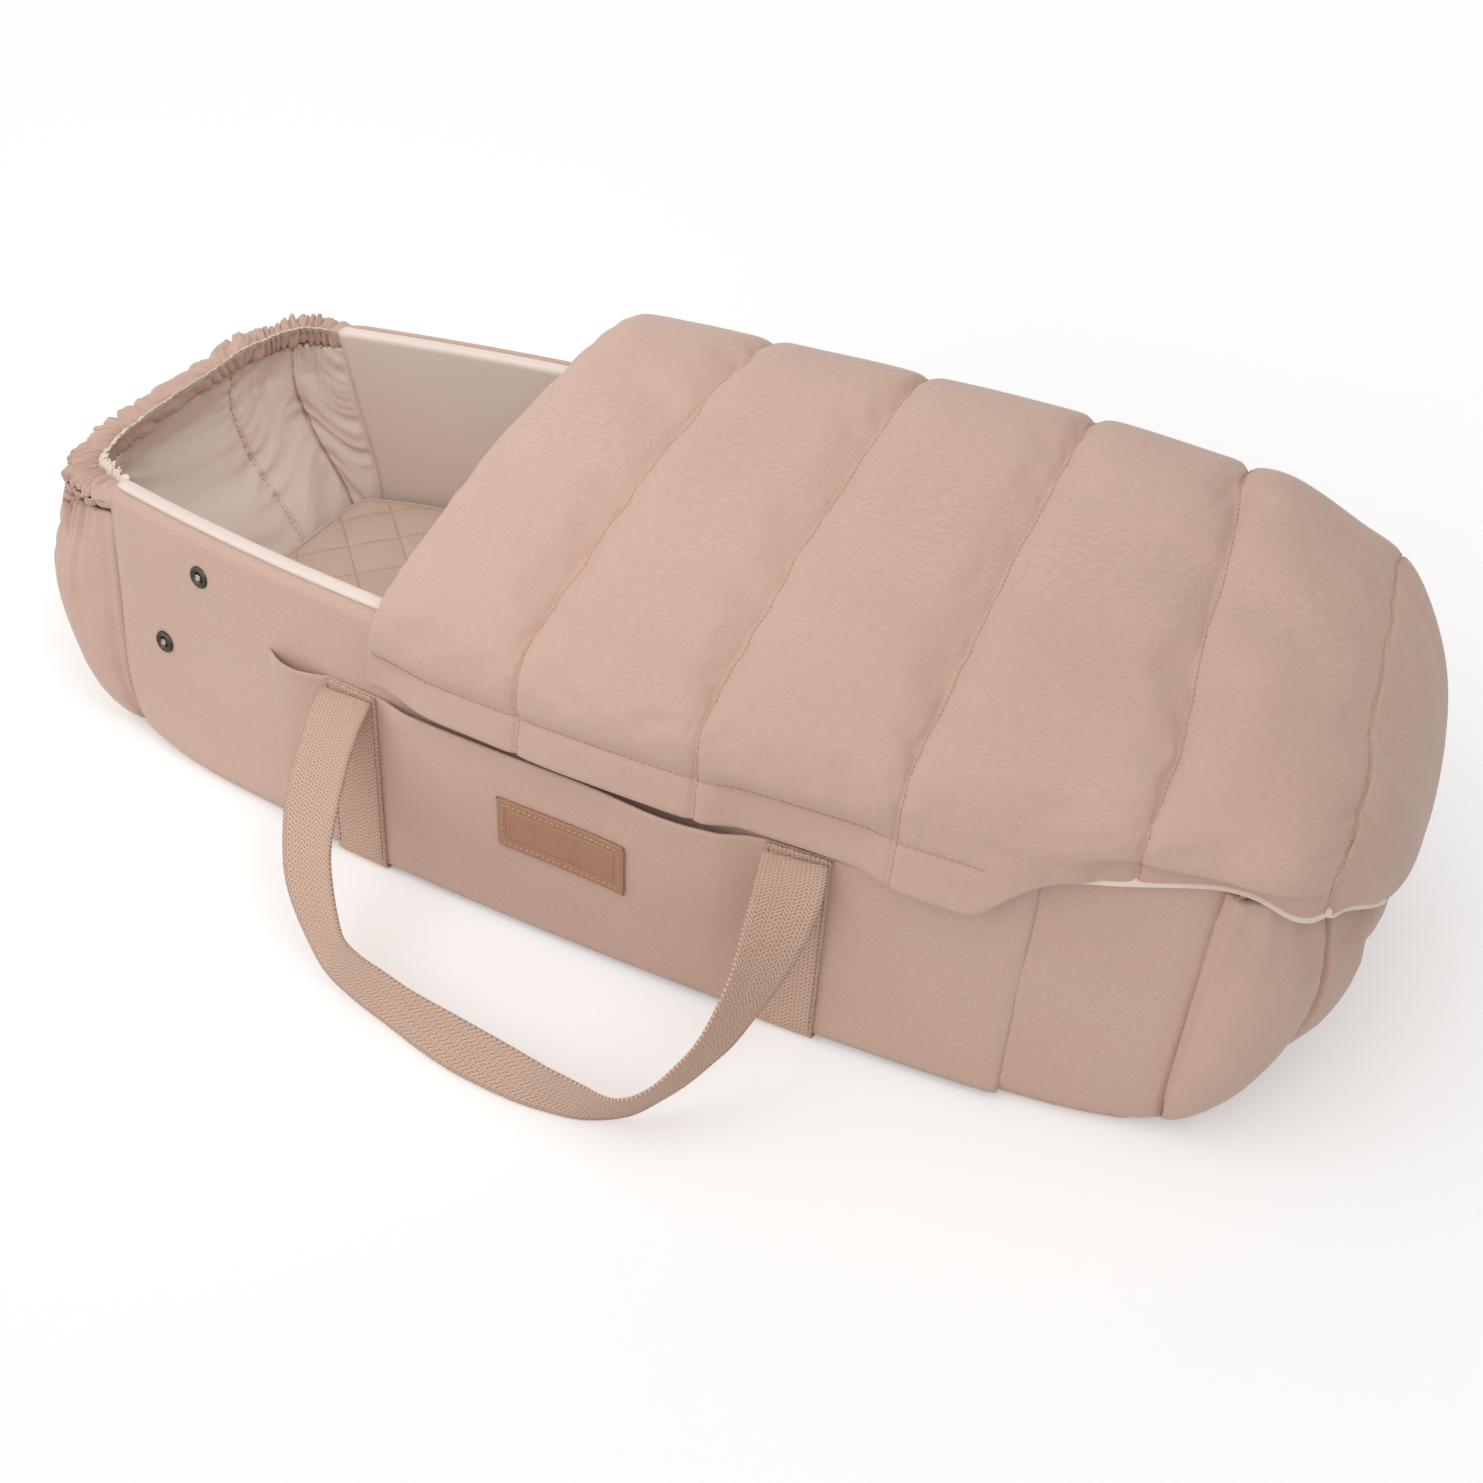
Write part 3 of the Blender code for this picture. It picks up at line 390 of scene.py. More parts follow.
# Each end is a soft wall of five padded baffles between stitched seams, outside in the heathered
# cotton and inside in the lining. The elastic above draws the cloth in, so creases run down from it.
# In these tables -1 is the head end and 1 is the foot end, False is outside and True is inside.
BAFFLE_SEAMS = (0, 0.28, 0.427, 0.573, 0.72, 1)
INNER_SEAMS = (0, 0.19, 0.41, 0.59, 0.81, 1)
END_TOP = 0.1714
CASING_LEVEL = 0.1805
END_GAP = 0.0006
END_SWELL = 0.0085
END_CREASE = 0.0034
END_SEAM_SINK = 0.0042
END_SEAM_SHARE = 0.007
END_EDGE_SHARE = 0.012
END_EDGE_SINK = 0.002
END_SKIN = 0.006
END_FOOT_ROUND = 0.035
END_FOOT_HALF = 0.003
DEPTH_AT_FOOT = {-1: 0.026, 1: 0.016}
DEPTH_AT_RIM = {-1: 0.052, 1: 0.034}
BELLY = {-1: 0.036, 1: 0.034}
BELLY_POWER = {-1: 1.4, 1: 0.9}
FOOT_SQUARENESS = {-1: 0.60, 1: 1.00}
RIM_SQUARENESS = 0.60
SWELL_SHARE = {-1: 0.84, 1: 0.74}
FAN_FOLDS = {-1: 46, 1: 22}
FAN_FALL_SHARE = 0.20
CORNER_SHARE = 0.06
CORNER_SPREAD_SHARE = 0.10
CORNER_FANNING = 2.6
CREASE_SLANT = 0.018
TUG_SIZE = 0.016
TUG_STRENGTH = {False: 0.22, True: 0.85}
BROAD_CREASE_SIZE = 0.034
BROAD_CREASE_STRENGTH = {False: 0.45, True: 1.35}
DRAWN_FROM_SHARE = 0.84
DRAWN_HALF = 0.009
END_CELLS = (340, 80)
END_CLOTH = (0.60, 0.20)
END_LINING_CLOTH = (0.55, 0.20)


def end_depth(end, z):
    rise = min(max(z / RIM_HEIGHT, 0), 1)
    belly = BELLY[end] * math.sin(math.pi * rise ** BELLY_POWER[end])
    return lerp(DEPTH_AT_FOOT[end], DEPTH_AT_RIM[end], rise) + belly


def signed_power(value, power):
    return math.copysign(abs(value) ** power, value)


def end_point(end, angle, z, offset):
    """A point of an end's wall: end is -1 at the head and 1 at the foot, offset is outward."""
    squareness = lerp(FOOT_SQUARENESS[end], RIM_SQUARENESS, z / RIM_HEIGHT)
    middle = half_width(HALF_SIDE, z) - WALL_THICKNESS / 2
    stand = max(end_depth(end, z) + offset, END_GAP)
    x = HALF_SIDE + END_GAP + stand * max(math.cos(angle), 0.0) ** squareness
    return Vector((end * x, (middle + offset) * signed_power(math.sin(angle), squareness), z))


def between_seams(seams, value, power=2.2):
    """0 on a seam and 1 in the middle between two seams."""
    for low, high in zip(seams, seams[1:]):
        if value <= high:
            return 1 - abs(2 * (value - low) / (high - low) - 1) ** power
    return 0.0


def end_swelling(end, share, z, inside):
    """Padding between the seams, which sink into a narrow crease."""
    seams = INNER_SEAMS if inside else BAFFLE_SEAMS
    rise = min(z / (END_TOP * SWELL_SHARE[end]), 1)
    full = max(math.sin(math.pi * rise), 0) ** 0.7
    seam = min(abs(share - place) for place in seams)
    return END_SWELL * between_seams(seams, share) * full - ridge(seam, END_SEAM_SINK, END_SEAM_SHARE)


def end_creasing(end, share, z, inside):
    """Creases that fan down from the gathered rim, and short ones that pull at the seams."""
    below = (END_TOP - z) / END_TOP
    fan = noise.noise(Vector((share * FAN_FOLDS[end], below * 2.5, 2.0 + end)))
    fan *= math.exp(-below / FAN_FALL_SHARE)
    if end < 0 and not inside:
        fan *= 1 + ridge(share - CORNER_SHARE, CORNER_FANNING, CORNER_SPREAD_SHARE)
    pull = 1 - 0.75 * between_seams(INNER_SEAMS if inside else BAFFLE_SEAMS, share, 1.6)
    slant = z + CREASE_SLANT * math.sin(share * 14)
    cross = 1 - abs(noise.noise(Vector((share * 5, slant / TUG_SIZE, 5.0 + end + inside)))) * 3
    broad = noise.noise(Vector((share * 6, slant / BROAD_CREASE_SIZE, 9.0 + end + inside)))
    return END_CREASE * (fan + TUG_STRENGTH[inside] * pull * cross + BROAD_CREASE_STRENGTH[inside] * broad)


def end_wall(end, inside):
    def place(u, v):
        z = lerp(WALL_FOOT, END_TOP, v)
        angle = math.pi * (u - 0.5)
        drawn = smooth((z / END_TOP - DRAWN_FROM_SHARE) / (1 - DRAWN_FROM_SHARE))
        half = lerp(WALL_THICKNESS / 2, DRAWN_HALF, drawn)
        creasing = end_creasing(end, u, z, inside) * smooth(v / 0.15)
        swell = end_swelling(end, u, z, inside) * (1 - 0.3 * drawn) + creasing
        side_fade = smooth(min(u, 1 - u) / END_EDGE_SHARE)
        if inside:
            return end_point(end, angle, z, -(half + swell * side_fade))
        rounded = max(1 - (z - WALL_FOOT) / END_FOOT_ROUND, 0)
        offset = lerp(END_FOOT_HALF, half, math.sqrt(1 - rounded ** 2)) + swell * side_fade
        return end_point(end, angle, z, offset - END_EDGE_SINK * (1 - side_fade))
    return place


for end, word in ((-1, "head"), (1, "foot")):
    outside = sew(f"{word}_end_baffles", cut_cloth(*END_CELLS, *END_CLOTH, end_wall(end, False)),
                  heathered_cotton, slot="outer_fabric", sheet_face=(end, 0, 0))
    thicken(outside, END_SKIN)
    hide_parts(f"{word}_end_outer")
    inside = sew(f"{word}_end_lining_baffles",
                 cut_cloth(*END_CELLS, *END_LINING_CLOTH, end_wall(end, True)),
                 smooth_lining, slot="lining_fabric", sheet_face=(-end, 0, 0.1))
    thicken(inside, END_SKIN)
    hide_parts(f"{word}_end_lining")


# A casing with elastic inside runs round the top of each end. The elastic is shorter than the cloth,
# so the casing is scrunched into uneven folds, and its inner hem stands up as a fine cream frill.
FRILL_TONES = ((0.90, 0.82, 0.72), (0.90, 0.82, 0.72), (0.80, 0.70, 0.58))
CASING_HALF_WIDTH = 0.0125
CASING_HALF_HEIGHT = 0.0112
TUCKED_HALF_WIDTH = 0.0085
TUCKED_HALF_HEIGHT = 0.0070
TUCKED_SHARE = 0.022
TUCKED_BACK = 0.0030
CASING_WANDER = 0.0015
CASING_CELLS = (620, 30)
CASING_CLOTH = (0.90, 0.06)
GATHER_DEPTH = 0.0066
GATHER_FOLDS = 30
FRILL_ANGLE = math.radians(158)
FRILL_HEIGHT = 0.0068
FRILL_SEAM = 0.0045
FRILL_LIFT = 0.0006
FRILL_AIM = 0.006
FRILL_WAVES = 420
FRILL_WAVE = 0.0019
FRILL_CLOTH = 0.0005
FRILL_CELLS = (1500, 6)
FRILL_LENGTH = 0.62
WELD = 0.00001

frill_cloth = woven_cloth("frill_cloth", FRILL_TONES, 0.7, 0.00015)


def gather(share, turn, seed):
    """Height of the scrunched folds along the elastic: round backs with narrow valleys."""
    warp = noise.noise(Vector((share * 11, turn * 0.35, seed))) * 1.3
    lean = 0.30 * math.sin(turn + 9 * noise.noise(Vector((share * 6, 0.5, seed))))
    fold = abs(math.sin(math.pi * (share * GATHER_FOLDS + warp + lean))) ** 0.55
    small = abs(math.sin(math.pi * (share * GATHER_FOLDS * 2.1 + 1.9 * warp - lean))) ** 0.6
    size = 0.80 + 0.55 * noise.noise(Vector((share * 17, turn * 0.8, seed + 4)))
    return (0.72 * fold + 0.28 * small) * size


def casing_point(end, share, turn, lift=0.0):
    depth = GATHER_DEPTH * (1 - gather(share, turn, 3.0 + end))
    tucked = 1 - smooth(min(share, 1 - share) / TUCKED_SHARE)
    half_across = lerp(CASING_HALF_WIDTH - depth + lift, TUCKED_HALF_WIDTH, tucked)
    half_up = lerp(CASING_HALF_HEIGHT - depth + lift, TUCKED_HALF_HEIGHT, tucked)
    wander = CASING_WANDER * noise.noise(Vector((share * 9, 1.0, 6.0 + end)))
    point = end_point(end, math.pi * (share - 0.5), CASING_LEVEL,
                      half_across * signed_power(math.cos(turn), 0.7) + wander)
    point.z += half_up * signed_power(math.sin(turn), 0.7) + wander
    point.x -= end * TUCKED_BACK * tucked
    return point


def casing_place(end):
    return lambda u, v: casing_point(end, u, math.tau * v)


def frill_place(end):
    """From its seam inside the casing up to the free edge, which waves from side to side."""
    def place(u, v):
        base = casing_point(end, u, FRILL_ANGLE, FRILL_LIFT)
        out = (casing_point(end, u, FRILL_ANGLE, FRILL_AIM) - base).normalized()
        along = Vector((-out.y, out.x, 0))
        wave = u * FRILL_WAVES + 6 * noise.noise(Vector((u * 24, 0, 2)))
        rise, seam = max(2 * v - 1, 0), max(1 - 2 * v, 0)
        uneven = 0.90 + 0.20 * noise.noise(Vector((u * 50, 3, 1)))
        upright = (out + Vector((0, 0, 0.9))).normalized()
        waving = (out * math.sin(wave) + along * math.sin(2 * wave) * 0.5) * FRILL_WAVE * rise
        return base + upright * (FRILL_HEIGHT * uneven * rise - FRILL_SEAM * seam) + waving
    return place


for end, word in ((-1, "head"), (1, "foot")):
    rim_bm = cut_cloth(*CASING_CELLS, *CASING_CLOTH, casing_place(end))
    bmesh.ops.remove_doubles(rim_bm, verts=rim_bm.verts, dist=WELD)
    bmesh.ops.holes_fill(rim_bm, edges=[edge for edge in rim_bm.edges if edge.is_boundary],
                         sides=CASING_CELLS[1])
    rim = sew(f"{word}_gathered_rim", rim_bm, heathered_cotton, slot="outer_fabric")
    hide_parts(f"{word}_casing", f"{word}_elastic")
    frill = sew(f"{word}_frill", cut_cloth(*FRILL_CELLS, FRILL_LENGTH, FRILL_HEIGHT, frill_place(end)),
                frill_cloth, slot="lining_fabric")
    thicken(frill, FRILL_CLOTH)


# The base is a hard board in the cloth bottom, which lies between the walls and shows from below.
BOTTOM_LEVEL = 0.0023
BOTTOM_THICKNESS = 0.003
BOTTOM_INSET = 0.0045
BOTTOM_BEVEL = 0.0008
BOARD_TONES = ((0.36, 0.32, 0.27), (0.50, 0.46, 0.40))


def outline(inset, level, end_inset=0.0, side_cells=40, end_cells=32):
    """Plan outline inwards by inset from the outer faces of the walls at that level."""
    points = []
    for end in (-1, 1):
        for step in range(end_cells + 1):
            angle = end * math.pi * (step / end_cells - 0.5)
            place = end_point(end, angle, level, WALL_THICKNESS / 2 - inset - end_inset)
            points.append(Vector((place.x, place.y, level)))
        for step in range(1, side_cells):
            x = end * lerp(HALF_SIDE, -HALF_SIDE, step / side_cells)
            points.append(Vector((x, end * (half_width(x, level) - inset), level)))
    return points


def lay_flat(bm):
    """Sets the cloth's map from above, for a piece that lies level."""
    flat = bm.loops.layers.uv.get("flat_cloth") or bm.loops.layers.uv.new("flat_cloth")
    for face in bm.faces:
        for loop in face.loops:
            loop[flat].uv = (loop.vert.co.x, loop.vert.co.y)


def slab(points, low, high, bevel):
    """A flat pad with the given outline and rounded edges."""
    bm = bmesh.new()
    bmesh.ops.create_circle(bm, cap_ends=True, segments=len(points), radius=1)
    for vert, point in zip(bm.verts, points):
        vert.co = (point.x, point.y, low)
    raised = bmesh.ops.extrude_face_region(bm, geom=bm.faces[:])
    bmesh.ops.translate(bm, verts=[v for v in raised["geom"] if isinstance(v, bmesh.types.BMVert)],
                        vec=(0, 0, high - low))
    rims = [edge for edge in bm.edges if abs(edge.verts[0].co.z - edge.verts[1].co.z) < 1e-6]
    bmesh.ops.bevel(bm, geom=rims, offset=bevel, affect="EDGES", segments=2, profile=0.5, material=-1)
    lay_flat(bm)
    return bm


bottom_bm = slab(outline(BOTTOM_INSET, WALL_FOOT, BOTTOM_INSET), BOTTOM_LEVEL,
                 BOTTOM_LEVEL + BOTTOM_THICKNESS, BOTTOM_BEVEL)
bottom = sew("cloth_bottom", bottom_bm, heathered_cotton, slot="outer_fabric")
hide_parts("bottom_panel")


def tone_ramp(tree, amount, low_tone, high_tone, low=0.0, high=1.0):
    """Runs from one tone to the other while the amount climbs from low to high."""
    ramp = add_node(tree, "ValToRGB", {"Fac": amount})
    for element, place, tone in zip(ramp.color_ramp.elements, (low, high), (low_tone, high_tone)):
        element.position = place
        element.color = (*tone, 1)
    return ramp.outputs["Color"]


board_card, board_tree, board_shader = new_finish("grey_board")
board_place = add_node(board_tree, "TexCoord", {}).outputs["Object"]
board_fibre = add_node(board_tree, "TexNoise", {"Vector": board_place, "Scale": 240, "Detail": 4})
board_tone = tone_ramp(board_tree, board_fibre.outputs["Fac"], *BOARD_TONES)
feed(board_tree, board_shader, {"Base Color": board_tone, "Roughness": 0.85})
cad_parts["base_board"].material_slots[0].material = board_card


# The mattress is a thin pad quilted in diamonds, with a piped seam round its upper edge.
MATTRESS_TOP = 0.0399
MATTRESS_LEVEL = 0.015
MATTRESS_INSET = 0.0313
MATTRESS_SPINE = 0.24
MATTRESS_CROWN = 0.0035
MATTRESS_EDGE_DROP = 0.004
MATTRESS_UNEVEN = 0.0012
MATTRESS_UNEVEN_SIZE = 0.05
MATTRESS_TONES = ((0.68, 0.52, 0.425), (0.72, 0.57, 0.48), (0.64, 0.47, 0.375))
MATTRESS_CLOTH = (1.9, 0.2)
TOP_STEPS = 46
EDGE_PROFILE = ((1.0, 0.006), (1.003, 0.014), (1.003, 0.022), (0.999, 0.028), (0.97, 0.030), (0.5, 0.030),
                (0, 0.030))
QUILT_PITCH = 0.056
QUILT_RELIEF = 0.0044
QUILT_THREAD_TONE = (0.520, 0.370, 0.280)
PIPING_RADIUS = 0.0022
PIPING_INSET = 0.0267
PIPING_LEVEL = 0.0327
PIPING_CELLS = 10
PIPING_CLOTH = (1.9, 0.014)
quilted_cotton = woven_cloth("quilted_cotton", MATTRESS_TONES, 0.6, 0.00012, QUILT_PITCH, QUILT_THREAD_TONE)
piping_cotton = woven_cloth("piping_cotton", MATTRESS_TONES, 0.6, 0.00012)


def quilting(x, y):
    one, two = (x + y) / QUILT_PITCH, (x - y) / QUILT_PITCH
    return (abs(math.sin(math.pi * one)) * abs(math.sin(math.pi * two))) ** 0.42


mattress_edge = outline(MATTRESS_INSET, MATTRESS_LEVEL, side_cells=130, end_cells=60)
mattress_profile = [(step / TOP_STEPS, 0) for step in range(TOP_STEPS + 1)] + list(EDGE_PROFILE)


def mattress_point(u, v):
    rim = mattress_edge[round(u * len(mattress_edge)) % len(mattress_edge)]
    reach, down = mattress_profile[round(v * (len(mattress_profile) - 1))]
    spine = Vector((max(min(rim.x, MATTRESS_SPINE), -MATTRESS_SPINE), 0, 0))
    point = Vector((lerp(spine.x, rim.x, reach), lerp(spine.y, rim.y, reach), MATTRESS_TOP - down))
    if down == 0:
        edge = smooth((1 - reach) / 0.10)
        point.z += MATTRESS_CROWN * (1 - reach ** 6) - climb(reach, MATTRESS_EDGE_DROP, 0.94, 0.06)
        point.z += QUILT_RELIEF * (quilting(point.x, point.y) - 0.8) * edge
        point.z += MATTRESS_UNEVEN * ripple(point.x, point.y, 0, MATTRESS_UNEVEN_SIZE)
    return point


mattress_bm = cut_cloth(len(mattress_edge), len(mattress_profile) - 1, *MATTRESS_CLOTH, mattress_point)
bmesh.ops.remove_doubles(mattress_bm, verts=mattress_bm.verts, dist=WELD)
lay_flat(mattress_bm)
mattress = sew("quilted_mattress", mattress_bm, quilted_cotton, slot="mattress_fabric")
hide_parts("mattress")

piping_line = outline(PIPING_INSET, MATTRESS_LEVEL, side_cells=120, end_cells=48)


def piping_point(u, v):
    count = len(piping_line)
    here = piping_line[round(u * count) % count]
    ahead = piping_line[(round(u * count) + 1) % count]
    out = (ahead - here).cross(Vector((0, 0, 1))).normalized()
    turn = math.tau * v
    centre = Vector((here.x, here.y, PIPING_LEVEL))
    return centre + PIPING_RADIUS * (out * math.cos(turn) + Vector((0, 0, math.sin(turn))))


piping_bm = cut_cloth(len(piping_line), PIPING_CELLS, *PIPING_CLOTH, piping_point)
bmesh.ops.remove_doubles(piping_bm, verts=piping_bm.verts, dist=WELD)
piping = sew("mattress_cord_piping", piping_bm, piping_cotton, slot="mattress_fabric")
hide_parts("mattress_piping")


# An open pocket of the heathered cotton is sewn flat to each long side along its foot and its ends.
# The upper hem hangs loose between the webs, and gapes at its free head end, beside the first web.
POCKET_HEM = 0.134
POCKET_HEAD_END = -0.220
POCKET_FOOT_END = 0.278
POCKET_CLOTH = 0.0014
POCKET_GAP = 0.0006
POCKET_CUT = (0.498, 0.130)
POCKET_CELLS = (250, 44)
POCKET_CLIMB = (0.026, 0.172, 0.080)
POCKET_SLACK = 0.0045
POCKET_BULGE = 0.0060
POCKET_BULGE_PLACE = 0.075
POCKET_BULGE_WIDTH = 0.040
POCKET_GAPE = 0.007
POCKET_WEB_EASE = 0.028
POCKET_DRAG = 0.0010
POCKET_DRAG_LENGTH = 0.11
POCKET_DRAG_HEIGHT = 0.035
POCKET_DRAG_EASE = 0.02
POCKET_SEWN_FOOT = 0.012
POCKET_SEWN_END = 0.010
POCKET_FLUSH = 0.0002
POCKET_FLUSH_FOOT = 0.007
POCKET_FLUSH_HEAD = 0.016
WEB_SPREAD = 0.150
WEB_WIDTH = 0.038


def pocket_hem(x):
    """The pocket's upper edge, which climbs under the cover's flap past the foot web."""
    return POCKET_HEM + climb(x, *POCKET_CLIMB)


def pocket_slack(x, z):
    """How far the pocket's cloth stands off the wall: flat at the webs and the base, loose between."""
    height = min(max((z - WALL_FOOT) / (POCKET_HEM - WALL_FOOT), 0), 1) ** 0.6
    between = smooth((WEB_SPREAD - WEB_WIDTH / 2 - abs(x)) / POCKET_WEB_EASE)
    web_edge = WEB_SPREAD + WEB_WIDTH / 2
    gape = math.sin(math.pi * min(max((-x - web_edge) / (-POCKET_HEAD_END - web_edge), 0), 1))
    slack = POCKET_SLACK + ridge(x - POCKET_BULGE_PLACE, POCKET_BULGE, POCKET_BULGE_WIDTH)
    return height * (between * slack + POCKET_GAPE * gape * height ** 6)


def on_wall(side, x, z, offset):
    return Vector((x, side * (half_width(x, z) + offset), z))


def pocket_face(x, z):
    """The pocket's outer face, off the wall, with the faint drag lines of cloth held at the webs."""
    drag = POCKET_DRAG * noise.noise(Vector((x / POCKET_DRAG_LENGTH, z / POCKET_DRAG_HEIGHT, 3.0)))
    off_web = smooth((abs(abs(x) - WEB_SPREAD) - WEB_WIDTH / 2) / POCKET_DRAG_EASE)
    off_seams = min(smooth((z - WALL_FOOT) / POCKET_SEWN_FOOT),
                    smooth((POCKET_FOOT_END - x) / POCKET_SEWN_END))
    to_foot, to_head = (POCKET_FOOT_END - x) / POCKET_FLUSH_FOOT, (x - POCKET_HEAD_END) / POCKET_FLUSH_HEAD
    stand = lerp(POCKET_GAP + POCKET_CLOTH, POCKET_FLUSH, max(1 - to_foot, 1 - to_head, 0) ** 2)
    return stand + pocket_slack(x, z) + drag * off_web * off_seams


def pocket_place(side):
    def place(u, v):
        x = lerp(POCKET_HEAD_END, POCKET_FOOT_END, u)
        z = lerp(WALL_FOOT, pocket_hem(x), v)
        return on_wall(side, x, z, pocket_face(x, z))
    return place


for side, word in ((-1, "near"), (1, "far")):
    pocket = sew(f"pocket_cloth_{word}", cut_cloth(*POCKET_CELLS, *POCKET_CUT, pocket_place(side)),
                 heathered_cotton, slot="outer_fabric", sheet_face=(0, side, 0))
    thicken(pocket, POCKET_CLOTH)
    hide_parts(f"pocket_{word}")


# A saddle-stitched patch of tan leather on the pocket, with a pressed line inside the stitching.
# Here and below, a stitch is its length, the gap after it and its thread's thickness.
PATCH_CENTRE = (0.004, 0.084)
PATCH_SIZE = (0.088, 0.036)
PATCH_CORNER = 0.003
PATCH_LEATHER = 0.0018
PATCH_LIFT = 0.0003
PATCH_STITCH_INSET = 0.0035
PATCH_STITCH_GROOVE = (0.00025, 0.0009)
PATCH_LINE_INSET = 0.0062
PATCH_LINE_GROOVE = (0.0008, 0.0007)
PATCH_EDGE_SINK = 0.0004
PATCH_EDGE_ROUND = 0.0012
PATCH_CELLS = (132, 60)
PATCH_STITCH = (0.0026, 0.0012, 0.0007)
LEATHER_TONE = (0.430, 0.222, 0.135)
CREAM_THREAD_TONE = (0.72, 0.58, 0.42)
BROWN_THREAD_TONE = (0.42, 0.25, 0.17)


def scaled(tone, by):
    return [min(part * by, 1) for part in tone]


def leather_hide(name, tone):
    """Vegetable-tanned cowhide: fine pores and faint cloudy colour, under a soft wax polish."""
    material, tree, shader = new_finish(name)
    place = add_node(tree, "TexCoord", {}).outputs["Object"]
    pores = add_node(tree, "TexVoronoi", {"Vector": place, "Scale": 900}).outputs["Distance"]
    cloud = add_node(tree, "TexNoise", {"Vector": place, "Scale": 60, "Detail": 5}).outputs["Fac"]
    shine = add_node(tree, "MapRange", {"Value": cloud, "To Min": 0.48, "To Max": 0.66})
    feed(tree, shader, {"Base Color": tone_ramp(tree, cloud, scaled(tone, 0.86), scaled(tone, 1.12)),
                        "Roughness": shine.outputs["Result"],
                        "Normal": bumpy(tree, pores, 0.35, 0.00015)})
    return material


def patch_point(right, up, stand):
    """A point of the patch, right and up from its centre, standing off the pocket's cloth."""
    x, z = PATCH_CENTRE[0] + right, PATCH_CENTRE[1] + up
    return on_wall(-1, x, z, pocket_face(x, z) + stand)


def patch_place(u, v):
    right, up = PATCH_SIZE[0] * (u - 0.5), PATCH_SIZE[1] * (v - 0.5)
    past_right = max(abs(right) - PATCH_SIZE[0] / 2 + PATCH_CORNER, 0)
    past_up = max(abs(up) - PATCH_SIZE[1] / 2 + PATCH_CORNER, 0)
    corner = math.hypot(past_right, past_up)
    if past_right and past_up and corner > PATCH_CORNER:
        right -= math.copysign(past_right * (1 - PATCH_CORNER / corner), right)
        up -= math.copysign(past_up * (1 - PATCH_CORNER / corner), up)
    inward = min(PATCH_SIZE[0] / 2 - abs(right), PATCH_SIZE[1] / 2 - abs(up))
    pressed = ridge(inward - PATCH_LINE_INSET, *PATCH_LINE_GROOVE)
    seam = ridge(inward - PATCH_STITCH_INSET, *PATCH_STITCH_GROOVE)
    edge = PATCH_EDGE_SINK * smooth(1 - inward / PATCH_EDGE_ROUND)
    return patch_point(right, up, PATCH_LEATHER + PATCH_LIFT - pressed - seam - edge)


patch = sew("leather_label_patch", cut_cloth(*PATCH_CELLS, *PATCH_SIZE, patch_place),
            leather_hide("tan_leather", LEATHER_TONE), slot="leather", sheet_face=(0, -1, 0))
thicken(patch, PATCH_LEATHER)
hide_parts("leather_patch")


def thread(name, tone):
    """Spun sewing thread, with a twist that shows as fine slanting lines."""
    material, tree, shader = new_finish(name)
    place = add_node(tree, "TexCoord", {}).outputs["Object"]
    twist = add_node(tree, "TexWave", {"Vector": place, "Scale": 900}, bands_direction="DIAGONAL")
    feed(tree, shader, {"Base Color": tone_ramp(tree, twist.outputs["Fac"], scaled(tone, 0.85), tone),
                        "Roughness": 0.7})
    return material


cream_thread = thread("cream_thread", CREAM_THREAD_TONE)
brown_thread = thread("brown_thread", BROWN_THREAD_TONE)


def walk_along(line, distance):
    """The point this far along a line of points."""
    for start, end in zip(line, line[1:]):
        span = (end - start).length
        if distance <= span:
            return start.lerp(end, distance / span if span else 0)
        distance -= span
    return line[-1].copy()


def topstitch(name, lines, material, length, gap, thickness, body="cot", slot="outer_fabric"):
    """Rows of stitches along lines of points, made as one piece: each is a thin grain of thread."""
    bm = bmesh.new()
    for line in lines:
        total = sum((b - a).length for a, b in zip(line, line[1:]))
        count = max(int(total / (length + gap)), 1)
        for index in range(count):
            begin = index * total / count
            tail, head = walk_along(line, begin), walk_along(line, begin + length)
            reach = head - tail
            if reach.length < WELD:
                continue
            turn = Vector((0, 0, 1)).rotation_difference(reach).to_matrix().to_4x4()
            size = Matrix.Diagonal((thickness / 2, thickness / 2, reach.length / 2, 1))
            bmesh.ops.create_icosphere(bm, subdivisions=1, radius=1,
                                       matrix=Matrix.Translation((tail + head) / 2) @ turn @ size)
    return sew(name, bm, material, body, slot)


def run(place, first, last, steps):
    """A line of points from place(first) to place(last)."""
    return [place(lerp(first, last, step / steps)) for step in range(steps + 1)]


def patch_stitch_line():
    right, up = PATCH_SIZE[0] / 2 - PATCH_STITCH_INSET, PATCH_SIZE[1] / 2 - PATCH_STITCH_INSET
    corners = [(-right, -up), (right, -up), (right, up), (-right, up), (-right, -up)]
    line = []
    for (x0, z0), (x1, z1) in zip(corners, corners[1:]):
        line += run(lambda share: patch_point(lerp(x0, x1, share), lerp(z0, z1, share),
                                              PATCH_LEATHER + PATCH_LIFT), 0, 1, 40)[:-1]
    return line + [line[0]]


topstitch("patch_stitches", [patch_stitch_line()], cream_thread, *PATCH_STITCH, slot="leather")


# One strap of 38 mm webbing at each end of the pockets runs up one side, under the base and up the
# other side, sewn over the pockets. It is woven in a coarse twill that turns at the middle.
WEB_CLOTH = 0.0020
WEB_BEND = 0.006
WEB_BELOW_HEM = 0.001
WEB_CELLS = (180, 8)
WEB_TONE = (0.730, 0.505, 0.390)
# The darker webbing tone below is painted shade, put in the low grooves between the twill's ribs.
WEB_GROOVE_PAINTED_SHADE = (0.380, 0.225, 0.150)
TWILL_TURN = 0.0048
TWILL_RIB = 0.00145
TWILL_YARN = 0.0012
web_rise = POCKET_HEM - WEB_BELOW_HEM
web_lay = 2 * POCKET_GAP + POCKET_CLOTH


